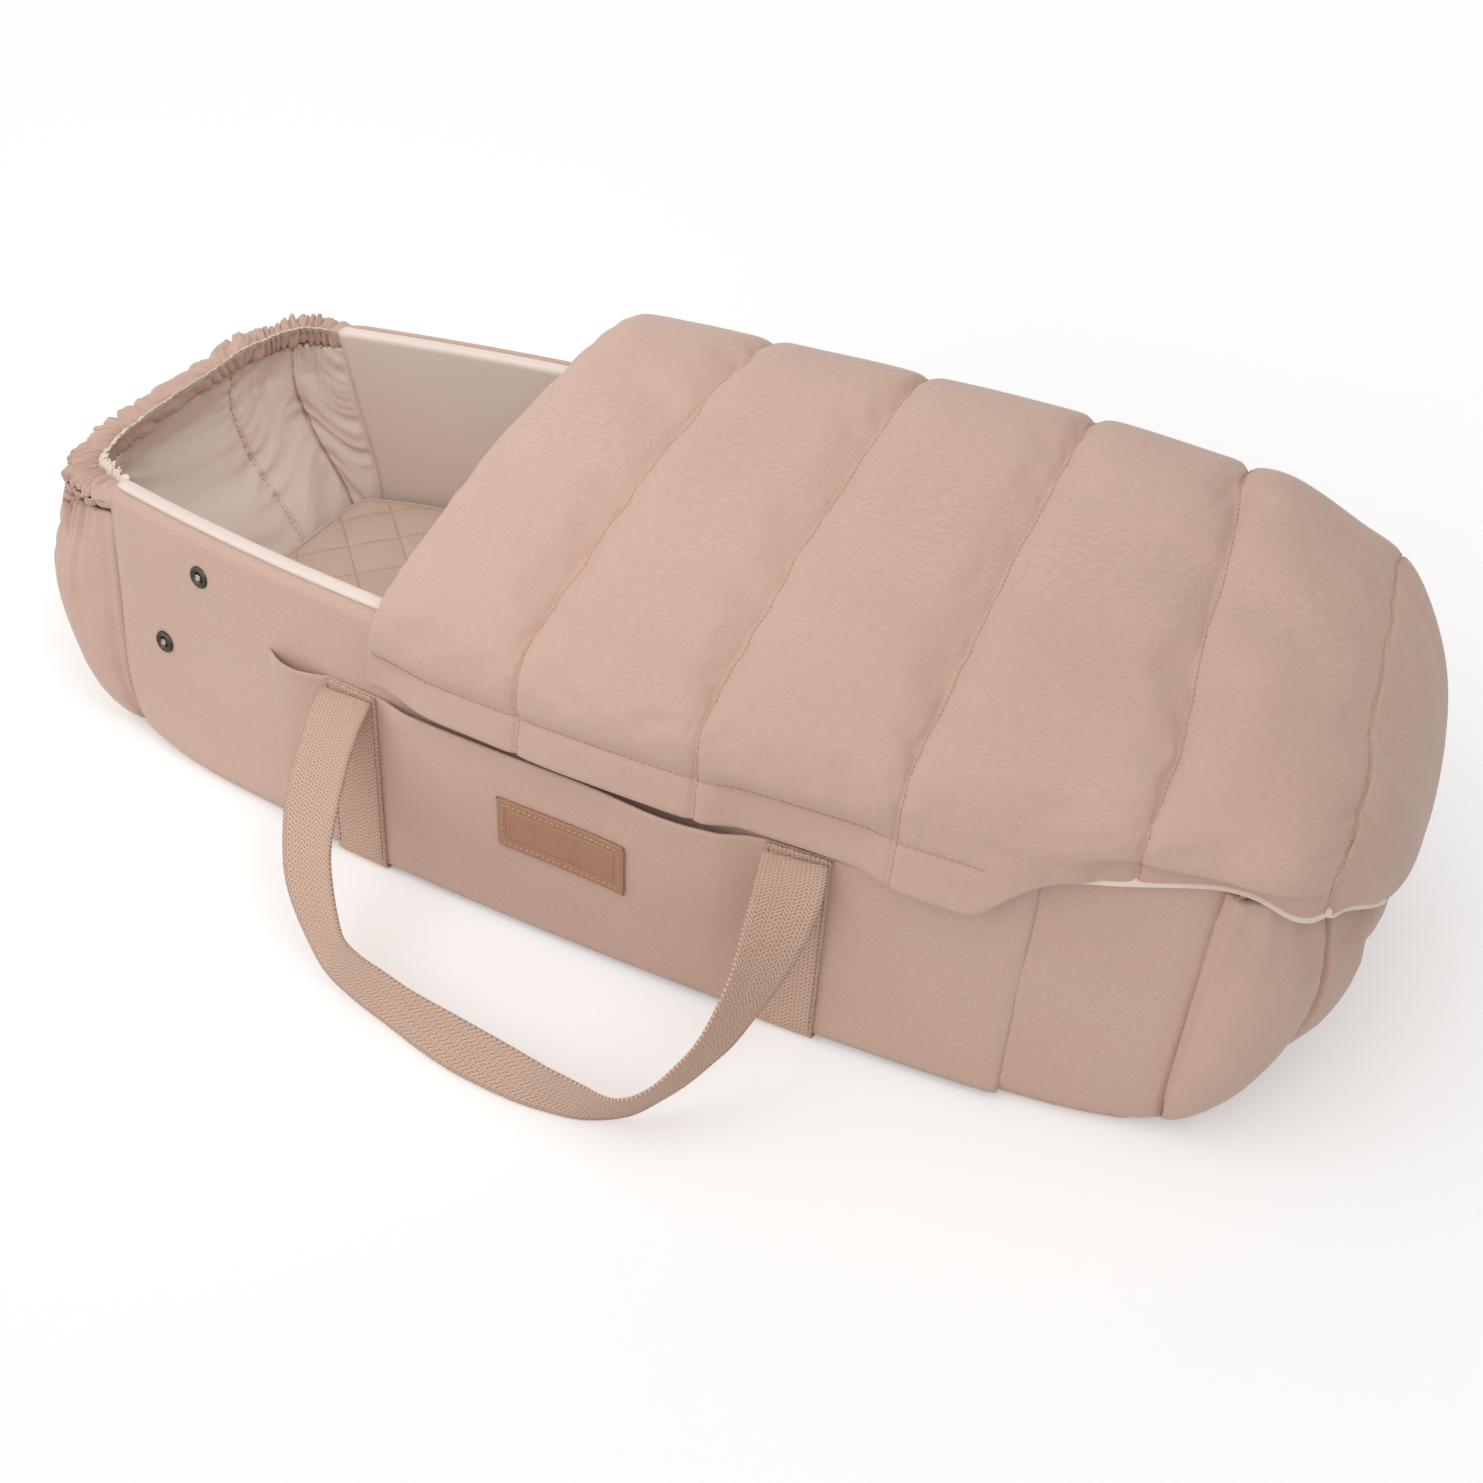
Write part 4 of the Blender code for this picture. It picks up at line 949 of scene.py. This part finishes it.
def twill_webbing(name, tone, groove_painted_shade):
    """Heavy cotton webbing: ribs slanting one way, then the other."""
    material, tree, shader = new_finish(name)
    flat = add_node(tree, "UVMap", {}, uv_map="flat_cloth").outputs["UV"]
    split = add_node(tree, "SeparateXYZ", {"Vector": flat}).outputs

    def ridges(place, half_pitch):
        return reckon(tree, "DIVIDE", reckon(tree, "PINGPONG", place, half_pitch), half_pitch)

    zigzag = reckon(tree, "PINGPONG", split["Y"], TWILL_TURN)
    ribs = ridges(reckon(tree, "ADD", split["X"], zigzag), TWILL_RIB)
    yarns = reckon(tree, "MULTIPLY", ridges(split["Y"], TWILL_YARN), 0.5)
    fuzz = add_node(tree, "TexNoise", {"Vector": flat, "Scale": 900, "Detail": 3}).outputs["Fac"]
    height = reckon(tree, "ADD", reckon(tree, "ADD", ribs, yarns), reckon(tree, "MULTIPLY", fuzz, 0.6))
    # The colour follows the same relief as the bump. The low grooves between the ribs and yarns take the
    # darker tone as painted shade, and the fuzz adds some random yarn tone.
    tones = tone_ramp(tree, reckon(tree, "MULTIPLY", height, 0.55), groove_painted_shade, tone, 0.22, 0.66)
    feed(tree, shader, {"Base Color": tones, "Roughness": 0.9, "Specular IOR Level": 0.25,
                        "Sheen Weight": 0.2, "Normal": bumpy(tree, height, 0.8, 0.0005)})
    return material


cotton_webbing = twill_webbing("cotton_webbing", WEB_TONE, WEB_GROOVE_PAINTED_SHADE)


def web_length(end):
    return 2 * (half_width(end * WEB_SPREAD, WALL_FOOT) + web_lay) + 2 * web_rise


def sewn_web(end):
    """From the near hem down, round the lower edge, across under the base and up to the far hem."""
    def place(u, v):
        x = end * WEB_SPREAD + WEB_WIDTH * (v - 0.5)
        half = half_width(x, WALL_FOOT) + web_lay + WEB_CLOTH
        path = abs(u - 0.5) * 2 * (half + web_rise)
        side = -1 if u < 0.5 else 1
        if path < half - WEB_BEND:
            return Vector((x, side * path, 0))
        turn = min((path - half + WEB_BEND) / (WEB_BEND * math.pi / 2), 1) * math.pi / 2
        if turn < math.pi / 2:
            y = half - WEB_BEND + WEB_BEND * math.sin(turn)
            return Vector((x, side * y, WEB_BEND * (1 - math.cos(turn))))
        z = min(WEB_BEND + path - half + WEB_BEND - WEB_BEND * math.pi / 2, POCKET_HEM)
        return on_wall(side, x, z, web_lay + WEB_CLOTH)
    return place


for end, word in ((-1, "head"), (1, "foot")):
    strap = sew(f"sewn_web_{word}", cut_cloth(*WEB_CELLS, web_length(end), WEB_WIDTH, sewn_web(end)),
                cotton_webbing, slot="webbing", sheet_face=(0, 0, -1))
    thicken(strap, WEB_CLOTH)
    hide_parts(f"base_web_{word}", f"side_web_{word}_near", f"side_web_{word}_far")


# Brown thread closes the seams between the baffles, inside and out, and sews the webs down along
# both edges. A row of cream thread runs along each pocket's hem.
BAFFLE_STITCH = (0.0040, 0.0010, 0.0008)
WEB_STITCH = (0.0034, 0.0008, 0.0009)
HEM_STITCH = (0.0034, 0.0014, 0.0006)
BAFFLE_STITCH_LIFT = 0.0004
WEB_STITCH_LIFT = 0.0002
WEB_STITCH_INSET = 0.0016
WEB_STITCH_FOOT = 0.010
HEM_STITCH_LIFT = 0.0001
HEM_STITCH_DROP = 0.012
HEM_STITCH_REACH = 0.128


def end_seam_rows(end, inside):
    place = end_wall(end, inside)
    lift = Vector((-end if inside else end, 0, 0)) * BAFFLE_STITCH_LIFT
    seams = (INNER_SEAMS if inside else BAFFLE_SEAMS)[1:-1]
    return [run(lambda rise: place(share, rise) + lift, 0.05, 0.99, 70) for share in seams]


baffle_rows = [row for end in (-1, 1) for inside in (False, True) for row in end_seam_rows(end, inside)]
topstitch("baffle_seam_stitches", baffle_rows, brown_thread, *BAFFLE_STITCH)

web_rows, hem_rows = [], []
for side in (-1, 1):
    for end in (-1, 1):
        for edge in (-1, 1):
            x = end * WEB_SPREAD + edge * (WEB_WIDTH / 2 - WEB_STITCH_INSET)
            web_rows.append(run(lambda z: on_wall(side, x, z, web_lay + WEB_CLOTH + WEB_STITCH_LIFT),
                                WEB_STITCH_FOOT, web_rise, 60))
    level = POCKET_HEM - HEM_STITCH_DROP
    hem_rows.append(run(lambda x: on_wall(side, x, level, pocket_face(x, level) + HEM_STITCH_LIFT),
                        -HEM_STITCH_REACH, HEM_STITCH_REACH, 100))
topstitch("web_seam_stitches", web_rows, brown_thread, *WEB_STITCH, slot="webbing")
topstitch("pocket_hem_stitches", hem_rows, cream_thread, *HEM_STITCH)


# Each carrying handle is one strap of the same webbing, folded over at the pocket's hem and sewn to
# the web below it. It falls forward from there, twists once along its run and rests on the floor.
# A station is a place along the cot, out from it and up, and then the way that the strap's width lies,
# as shares of the spread of the webs, the reach and the drop.
HANDLE_REACH = 0.122
HANDLE_DROP = 0.1115
HANDLE_STAND = 0.0061
HANDLE_BELOW_HEM = 0.002
HANDLE_LENGTH = 0.58
HANDLE_CELLS = (260, 10)
HANDLE_LOWEST = 0.0012
HANDLE_CURL = 0.0010
HANDLE_WARP = 0.0008
HANDLE_STATION_SHARES = (
    (-1.00, 0.00, 1.00, 1.00, 0.00, 0.00),
    (-1.00, 0.15, 0.86, 0.99, 0.04, 0.12),
    (-0.96, 0.38, 0.67, 0.95, 0.18, 0.24),
    (-0.86, 0.65, 0.42, 0.85, 0.17, 0.50),
    (-0.66, 0.85, 0.12, 0.50, 0.05, 0.86),
    (-0.38, 0.92, 0.02, 0.12, 0.12, 0.98),
    (0.03, 0.99, 0.00, 0.01, 0.26, 0.96),
    (0.44, 1.00, 0.00, 0.06, 0.00, 1.00),
    (0.71, 0.92, 0.02, 0.08, -0.46, 0.88),
    (0.90, 0.68, 0.24, -0.14, -0.70, 0.70),
    (1.00, 0.42, 0.56, -0.45, -0.70, 0.55),
    (1.02, 0.17, 0.84, -0.86, -0.40, 0.30),
    (1.00, 0.00, 1.00, -1.00, 0.00, 0.00),
)


def handle_axis(side):
    x, z = WEB_SPREAD - WEB_WIDTH / 2, POCKET_HEM - HANDLE_BELOW_HEM
    return Vector((0, side * (half_width(x, z) + HANDLE_STAND), z))


def handle_frame(side, share):
    """Centre, across and tangent of a handle a share of the way along its stations."""
    last = len(HANDLE_STATION_SHARES) - 1
    index = min(int(share * last), last - 1)
    t = share * last - index
    rows = [HANDLE_STATION_SHARES[min(max(index + step, 0), last)] for step in (-1, 0, 1, 2)]
    blend, slope = [], []
    for a, b, c, d in zip(*rows):
        blend.append(b + 0.5 * t * (c - a + t * (2 * a - 5 * b + 4 * c - d + t * (3 * (b - c) + d - a))))
        slope.append(0.5 * (c - a + t * (4 * a - 10 * b + 8 * c - 2 * d + 3 * t * (3 * (b - c) + d - a))))
    axis = handle_axis(side)
    centre = Vector((blend[0] * WEB_SPREAD, axis.y + side * blend[1] * HANDLE_REACH,
                     axis.z - (1 - blend[2]) * HANDLE_DROP))
    tangent = Vector((slope[0] * WEB_SPREAD, side * slope[1] * HANDLE_REACH, slope[2] * HANDLE_DROP))
    tangent.normalize()
    across = Vector((blend[3], -side * blend[4], blend[5]))
    across = (across - tangent * across.dot(tangent)).normalized()
    return centre, across, tangent


def handle_place(side):
    def place(u, v):
        centre, across, tangent = handle_frame(side, u)
        facing = tangent.cross(across)
        width = WEB_WIDTH * (v - 0.5) * (1 + 0.012 * noise.noise(Vector((u * 30, 0, side))))
        curl = HANDLE_CURL * (2 * v - 1) ** 2 + HANDLE_WARP * noise.noise(Vector((u * 24, v * 1.5, 4.0)))
        point = centre + across * width + facing * curl
        return Vector((point.x, point.y, max(point.z, HANDLE_LOWEST)))
    return place


for side, word in ((-1, "near"), (1, "far")):
    handle = sew(f"webbing_handle_{word}",
                 cut_cloth(*HANDLE_CELLS, HANDLE_LENGTH, WEB_WIDTH, handle_place(side)),
                 cotton_webbing, f"handle_{word}", slot="webbing")
    thicken(handle, WEB_CLOTH, 0)
    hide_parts(f"handle_{word}")


# Two press studs on each side wall at the head end fasten a hood: a domed ring with a pale socket.
# A profile's points are a radius and a height off the wall.
SNAP_SPOTS = (("upper", -0.277, 0.162), ("lower", -0.318, 0.099))
SNAP_RING = ((0.0024, 0.0), (0.0076, 0.0), (0.0076, 0.0007), (0.0071, 0.0015), (0.0062, 0.0021),
             (0.0052, 0.0022), (0.0045, 0.0019), (0.0042, 0.0010), (0.0024, 0.0006))
SNAP_STUD = ((0, 0.0002), (0.0024, 0.0002), (0.0024, 0.0014), (0.0021, 0.0019), (0.0016, 0.0021),
             (0.0011, 0.0019), (0.0008, 0.0013), (0, 0.0012))
SNAP_SPAN = 0.008
SNAP_LIFT = 0.0003
GUNMETAL_TONE = (0.085, 0.070, 0.060)
NICKEL_TONE = (0.42, 0.39, 0.34)


def cast_metal(name, tone, dull):
    """Plated brass with worn, uneven polish."""
    material, tree, shader = new_finish(name)
    place = add_node(tree, "TexCoord", {}).outputs["Object"]
    wear = add_node(tree, "TexNoise", {"Vector": place, "Scale": 500, "Detail": 5}).outputs["Fac"]
    polish = add_node(tree, "MapRange", {"Value": wear, "To Min": dull - 0.1, "To Max": dull + 0.15})
    feed(tree, shader, {"Base Color": tone_ramp(tree, wear, scaled(tone, 0.7), scaled(tone, 1.3)),
                        "Metallic": 1, "Roughness": polish.outputs["Result"]})
    return material


gunmetal = cast_metal("gunmetal", GUNMETAL_TONE, 0.32)
nickel = cast_metal("nickel", NICKEL_TONE, 0.35)


def turned(profile, seat, normal):
    bm = bmesh.new()
    verts = [bm.verts.new((radius, 0, height)) for radius, height in profile]
    edges = [bm.edges.new(pair) for pair in zip(verts, verts[1:])]
    if profile[0][0] > 0:
        edges.append(bm.edges.new((verts[-1], verts[0])))
    bmesh.ops.spin(bm, geom=verts + edges, cent=(0, 0, 0), axis=(0, 0, 1), angle=math.tau, steps=48,
                   use_merge=True)
    bmesh.ops.remove_doubles(bm, verts=bm.verts, dist=WELD)
    turn = Vector((0, 0, 1)).rotation_difference(normal).to_matrix().to_4x4()
    bmesh.ops.transform(bm, matrix=Matrix.Translation(seat) @ turn, verts=bm.verts)
    return bm


for side, side_word in ((-1, "near"), (1, "far")):
    for word, x, z in SNAP_SPOTS:
        along = on_wall(side, x + SNAP_SPAN, z, 0) - on_wall(side, x - SNAP_SPAN, z, 0)
        up = on_wall(side, x, z + SNAP_SPAN, 0) - on_wall(side, x, z - SNAP_SPAN, 0)
        normal = along.cross(up).normalized()
        normal *= math.copysign(1, normal.y * side)
        seat = on_wall(side, x, z, 0) + normal * SNAP_LIFT
        for kind, profile, metal, slot, node in (("ring", SNAP_RING, gunmetal, "dark_metal", "ring"),
                                                 ("socket", SNAP_STUD, nickel, "pale_metal", "stud")):
            piece = sew(f"stud_{kind}_{word}_{side_word}", turned(profile, seat, normal), metal, slot=slot)
            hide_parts(f"snap_{node}_{word}_{side_word}")


# The padded cover lies over the foot half: cloth outside, lining inside, quilted into channels by
# seams across it. Its flaps hang over the side walls below a stitched border, and it folds back
# over the foot about one seam. Air is let into the closed pad with its seams held down.
# In these tables True is the upper face and False the lower one, -1 is the near side and 1 the far one.
COVER_SEAMS = (-0.132, -0.020, 0.091, 0.202, 0.298, 0.392)
COVER_CHANNELS = len(COVER_SEAMS)
COVER_SKEW = (0.000, 0.000, 0.002, 0.004, 0.028, 0.023)
COVER_VERTICAL = 0.177
COVER_CROWN = 0.2515
COVER_THICKNESS = 0.022
COVER_STAND = 0.012
COVER_PINCH = 0.006
COVER_CHANNEL_POWER = 2.6
COVER_HEAD_DROP = 0.0065
COVER_HEAD_ROUND = 0.016
COVER_HEAD_BACK = 0.002
COVER_HEAD_CORNER = 0.009
COVER_SEAM_BACK = 0.004
COVER_SEAM_WAVER = 0.0009
COVER_CREASES = ((0.0034, 0.0017), (0.0018, 0.0062))
COVER_FOOT_FALL = (0.002, COVER_SEAMS[3], 0.10)
COVER_END_FALL = 0.012
COVER_END_FALL_FROM = 0.300
COVER_END_FALL_RUN = 0.090
COVER_END_PEAK = 0.0056
COVER_END_LENGTH = 0.055
COVER_END_HEMS = (0.120, 0.165)
COVER_END_STAND = {True: 0.0095, False: 0.0102}
COVER_END_TURNS = (0.31, 0.245)
COVER_UNEVEN = 0.0012
COVER_UNEVEN_LENGTH = 0.06
COVER_UNEVEN_WIDTH = 0.05
LINING_ABOVE_RIM = 0.0008
LINING_HEM_STAND = 0.0062
COVER_GAP = 0.0006
COVER_FOLD_GAP = 0.0058
COVER_FOLD_RUN = 0.150
COVER_END_REACH = 0.062
COVER_CLOTH = (0.62, 0.56)
COVER_CELLS = (132, 96)
COVER_AIR = 2.6
COVER_AIR_CAP = 0.0030
COVER_AIR_FRAMES = 20
ARCH_SHARE = 6 / 9
ARCH_FOOT_FROM = 0.270
ARCH_FOOT_RUN = 0.050
ARCH_POWER_ACROSS = 0.68
ARCH_POWERS = {-1: 0.76, 1: 0.60}
FREE_SHARE = {True: 0.64, False: 0.46}
BORDER_SHARE = 0.30
BORDER_GROOVE = (0.0018, 0.05)
NEAR_SLUMP = 0.018
NEAR_SLUMP_LOSS = (0.5, COVER_SEAMS[4], 0.060)
FAR_STANDS = (0.012, 0.021)
FAR_STAND_RUN = 0.43
FAR_STAND_LOSS = (0.8, 0.310, 0.075)
HEM_ROUND = 0.0030
HEM_ROUND_SHARE = 0.12
HEM_RISE = (0.0155, 0.290, 0.085)
HEM_DIP = (0.020, 0.375, 0.040)
FLAP_CORNER_RISE = 0.032
FLAP_WEB_ROOM = 0.013
FLAP_WEB_EASE = 0.026
FLAP_HEAD_START = -0.122
FLAP_HEAD_EASE = 0.040
FLAP_HEIGHT = 0.1435
FLAP_SLOPE = 0.026
FLAP_STAND = (0.0048, 0.0078)
FLAP_FLARE = 0.005
FLAP_END = 0.252
FLAP_CORNER = 0.045
LINING_PEEK = 0.0017
LINING_SHOWS_PAST = 0.010
LINING_SHOWS_RUN = 0.025
COVER_STITCH = (0.0034, 0.0006, 0.0009)
COVER_STITCH_LIFT = 0.0002
SEAM_THREAD_TONE = (0.600, 0.375, 0.215)


def seam_line(number, across):
    """Where a seam across the cover runs: the last ones slant on towards the foot on the near side."""
    waver = COVER_SEAM_WAVER * noise.noise(Vector((across * 8, number * 3.0, 3.0)))
    if number == 0:
        bowed = COVER_HEAD_CORNER * (1 - smooth((abs(across) - 0.5) / 0.4))
        return COVER_SEAMS[0] - COVER_HEAD_BACK + bowed + waver
    return COVER_SEAMS[number] - COVER_SEAM_BACK + COVER_SKEW[number] * smooth((0.3 - across) / 0.6) + waver


def cover_side(x, z, offset):
    """Half width of the cover, which follows the walls and then rounds in over the foot end."""
    past = (x - HALF_SIDE) / COVER_END_REACH
    side = half_width(x, z) + offset
    if past <= 0:
        return side
    power = 2 / lerp(FOOT_SQUARENESS[1], RIM_SQUARENESS, z / RIM_HEIGHT)
    return side * max(1 - past ** power, 0) ** (1 / power)


def cover_hem(x):
    """Height of the cover's lower edge: a hanging flap to its corner, then a raised edge to the foot."""
    flap = FLAP_HEIGHT - FLAP_SLOPE * (min(x, FLAP_END) - COVER_SEAMS[0])
    rise = 1 - (1 - min(max((x - FLAP_END) / FLAP_CORNER, 0), 1)) ** 2
    return flap + FLAP_CORNER_RISE * rise + climb(x, *HEM_RISE) - climb(x, *HEM_DIP)


def fold_clearance(x):
    """Room under the cover, which grows towards the seam that it folds about."""
    if x > COVER_SEAMS[4]:
        return COVER_GAP
    return lerp(COVER_GAP, COVER_FOLD_GAP, smooth(1 - (COVER_SEAMS[4] - x) / COVER_FOLD_RUN))


def flap_flare(x):
    """How freely the flap hangs, from 0 to 1: it lies close at its ends and where a handle swings past."""
    beside_web = smooth((abs(x - WEB_SPREAD) - WEB_WIDTH / 2 - FLAP_WEB_ROOM) / FLAP_WEB_EASE)
    from_head = smooth((x - FLAP_HEAD_START) / FLAP_HEAD_EASE)
    return from_head * beside_web * (1 - smooth((x - FLAP_END) / FLAP_CORNER))


def cover_tilt(x, side):
    """The pad stands higher over the far wall and slumps over the near one."""
    if side < 0:
        return -NEAR_SLUMP * (1 - climb(x, *NEAR_SLUMP_LOSS))
    stand = lerp(*FAR_STANDS, smooth((x - COVER_SEAMS[0]) / FAR_STAND_RUN))
    return stand * (1 - climb(x, *FAR_STAND_LOSS))


def seam_crease(away):
    """How deep a seam sinks into the padding."""
    return sum(ridge(away, depth, width) for depth, width in COVER_CREASES)


def rounded_off(distance, reach):
    """How far an edge has rounded away, from 1 at the edge to 0 at its reach."""
    return 1 - math.sqrt(1 - max(1 - distance / reach, 0) ** 2)


def cover_section(number, within, across, top):
    """A point of the cover within one channel: across runs from -1 to 1, hem to hem."""
    side, reach = math.copysign(1, across), abs(across)
    low, high = seam_line(number, across), seam_line(number + 1, across)
    x = lerp(low, high, within)
    channel = 1 - abs(2 * within - 1) ** COVER_CHANNEL_POWER
    crease = seam_crease(min(x - low if number else 1, high - x))
    head_edge = COVER_HEAD_DROP * rounded_off(x - low, COVER_HEAD_ROUND) if number == 0 else 0
    pinch = COVER_PINCH * 0.15 * (1 - channel) + crease + head_edge
    end_fall = COVER_END_FALL * max((x - COVER_END_FALL_FROM) / COVER_END_FALL_RUN, 0) ** 1.5
    fall = climb(x, *COVER_FOOT_FALL) + end_fall
    if top:
        foot_of_arch = lerp(COVER_VERTICAL, RIM_HEIGHT, smooth((x - ARCH_FOOT_FROM) / ARCH_FOOT_RUN))
        crown = COVER_CROWN - fall - pinch
        width = cover_side(x, foot_of_arch, COVER_STAND - pinch / 2)
    else:
        foot_of_arch = RIM_HEIGHT + LINING_ABOVE_RIM
        crown = COVER_CROWN - fall - COVER_THICKNESS + pinch
        width = cover_side(x, foot_of_arch, fold_clearance(x))
    if reach <= ARCH_SHARE:
        tilt = cover_tilt(x, side) * math.sin(math.pi * min(reach / ARCH_SHARE, 1) ** 0.8)
        angle = math.pi / 2 * reach / ARCH_SHARE
        y = width * math.sin(angle) ** ARCH_POWER_ACROSS
        z = foot_of_arch + (crown - foot_of_arch) * max(math.cos(angle), 0) ** ARCH_POWERS[side]
        return Vector((x, side * y, z + tilt if top else max(z + tilt, foot_of_arch)))
    down = (reach - ARCH_SHARE) / (1 - ARCH_SHARE)
    raised = smooth((x - FLAP_END - LINING_SHOWS_PAST) / LINING_SHOWS_RUN)
    z = lerp(foot_of_arch, cover_hem(x) - (0 if top else LINING_PEEK * raised), down)
    offset = fold_clearance(x)
    if top:
        flat = smooth(down / BORDER_SHARE)
        border = ridge(down - BORDER_SHARE, *BORDER_GROOVE) if x < FLAP_END else 0
        flap_stand = lerp(*FLAP_STAND, flap_flare(x)) - crease * 0.4
        offset += lerp(COVER_STAND - offset - pinch / 2, flap_stand, flat)
        offset -= border + HEM_ROUND * rounded_off(1 - down, HEM_ROUND_SHARE)
    else:
        offset += (LINING_HEM_STAND - offset) * raised * down ** 3
    return Vector((x, side * cover_side(x, z, offset + FLAP_FLARE * down * flap_flare(x)), z))


def cover_end(across, past_seam, top):
    """A point of the last channel, from its seam over the foot end down to the hem."""
    start = cover_section(4, 1.0, across, top)
    channel = 1 - abs(2 * past_seam - 1) ** COVER_CHANNEL_POWER
    swell = COVER_PINCH * 0.3 * channel + COVER_END_PEAK - seam_crease(past_seam * COVER_END_LENGTH)
    hem = lerp(*COVER_END_HEMS, smooth(abs(across))) - (0 if top else LINING_PEEK)
    turn_out = math.pi * lerp(*COVER_END_TURNS, smooth((0.3 - across) / 0.6)) * across
    finish = end_point(1, turn_out, hem, WALL_THICKNESS / 2 + COVER_END_STAND[top])
    turn = math.pi / 2 * past_seam
    level, drop = math.sin(turn) ** 1.3, (1 - math.cos(turn)) ** 0.72
    point = Vector((lerp(start.x, finish.x, level), lerp(start.y, finish.y, level),
                    lerp(start.z, finish.z, drop)))
    if top:
        swell *= (1 - abs(across) ** 6) * (1 - past_seam ** 6)
        point += Vector((math.sin(turn), 0, math.cos(turn))) * swell
    return point


def cover_point(u, v, top):
    across = 2 * v - 1
    if u > 1 - 1 / COVER_CHANNELS:
        return cover_end(across, u * COVER_CHANNELS - COVER_CHANNELS + 1, top)
    channel = min(int(u * COVER_CHANNELS), COVER_CHANNELS - 2)
    return cover_section(channel, u * COVER_CHANNELS - channel, across, top)


def crowded_to_seams(u):
    """Sets more cells close to each seam, where the cloth bends tightly."""
    channel = min(int(u * COVER_CHANNELS + 1e-9), COVER_CHANNELS - 1)
    within = u * COVER_CHANNELS - channel
    return (channel + within - 0.80 * math.sin(math.tau * within) / math.tau) / COVER_CHANNELS


held_down = []


def cover_face(top):
    """The upper or the lower face. It notes which of its points stay held while air is let in."""
    def place(u, v):
        point = cover_point(crowded_to_seams(u), v, top)
        on_seam = abs(u * COVER_CHANNELS - round(u * COVER_CHANNELS)) < 1e-3
        held_down.append(on_seam or abs(2 * v - 1) > FREE_SHARE[top])
        if top:
            point.z += COVER_UNEVEN * noise.noise(Vector((point.x / COVER_UNEVEN_LENGTH,
                                                                 point.y / COVER_UNEVEN_WIDTH, 2)))
        return point
    return place


def let_air_in(pad, held, pressure, cap):
    """Blows up a closed pad as cloth, with the held points fixed and the rest moving cap at most."""
    seams_held = pad.vertex_groups.new(name="held")
    seams_held.add(held, 1.0, "REPLACE")
    air = pad.modifiers.new("air", "CLOTH")
    air.settings.quality = 4
    air.settings.use_pressure = True
    air.settings.uniform_pressure_force = pressure
    air.settings.vertex_group_mass = "held"
    air.settings.shrink_min = -0.015
    air.settings.effector_weights.gravity = 0
    air.point_cache.frame_start, air.point_cache.frame_end = 1, COVER_AIR_FRAMES
    for step in range(COVER_AIR_FRAMES):
        bpy.context.scene.frame_set(step + 1)
    blown = pad.evaluated_get(bpy.context.evaluated_depsgraph_get()).to_mesh()
    places = [vert.co.copy() for vert in blown.vertices]
    pad.modifiers.remove(air)
    pad.vertex_groups.remove(seams_held)
    bpy.context.scene.frame_set(1)
    for vert, place in zip(pad.data.vertices, places):
        shift = place - vert.co
        vert.co += shift * min(cap / max(shift.length, 1e-9), 1)


cover_bm = cut_cloth(*COVER_CELLS, *COVER_CLOTH, cover_face(True))
under_bm = cut_cloth(*COVER_CELLS, *COVER_CLOTH, cover_face(False))
for face in under_bm.faces:
    face.material_index = 1
under_mesh = bpy.data.meshes.new("cover_underside")
under_bm.to_mesh(under_mesh)
under_bm.free()
cover_bm.from_mesh(under_mesh)
bpy.data.meshes.remove(under_mesh)
hems = bmesh.ops.bridge_loops(cover_bm, edges=[edge for edge in cover_bm.edges if edge.is_boundary])
for face in hems["faces"]:
    face.material_index = 1
cover = sew("padded_cover", cover_bm, heathered_cotton, None, slot="outer_fabric")
cover.data.materials.append(smooth_lining)
let_air_in(cover, [index for index, held in enumerate(held_down) if held], COVER_AIR, COVER_AIR_CAP)
soft = cover.modifiers.new("soft", "SUBSURF")
soft.levels = soft.render_levels = 1
settled = bpy.data.meshes.new_from_object(cover.evaluated_get(bpy.context.evaluated_depsgraph_get()))
cover.modifiers.clear()
cover.data = settled
cover_surface = BVHTree.FromObject(cover, bpy.context.evaluated_depsgraph_get())
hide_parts("cover_front", "cover_foot")
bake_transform(cover)


def on_cover(number, within, across):
    """A stitch's place: the point of the cover brought to lie just on its settled cloth."""
    point = cover_section(number, within, across, True)
    found, normal, _, _ = cover_surface.find_nearest(point + MIDDLE)
    return found + normal * COVER_STITCH_LIFT - MIDDLE


seam_rows, border_rows = [], []
for side in (-1, 1):
    for number, within in ((1, 0.015), (2, 0.015), (3, 0.015), (4, 0.015), (4, 0.985)):
        seam_rows.append(run(lambda reach: on_cover(number, within, side * reach), 0, 0.985, 160))
    across = side * lerp(ARCH_SHARE, 1, BORDER_SHARE)
    for number, first, last, steps in ((0, 0.03, 0.99, 60), (1, 0.03, 0.99, 60), (2, 0.03, 0.99, 60),
                                       (3, 0.02, 0.42, 30)):
        border_rows.append(run(lambda within: on_cover(number, within, across), first, last, steps))
tan_thread = thread("tan_thread", SEAM_THREAD_TONE)
for name, rows in (("cover_seam_stitches", seam_rows), ("cover_border_stitches", border_rows)):
    stitches = topstitch(name, rows, tan_thread, *COVER_STITCH, body=None)
    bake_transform(stitches)
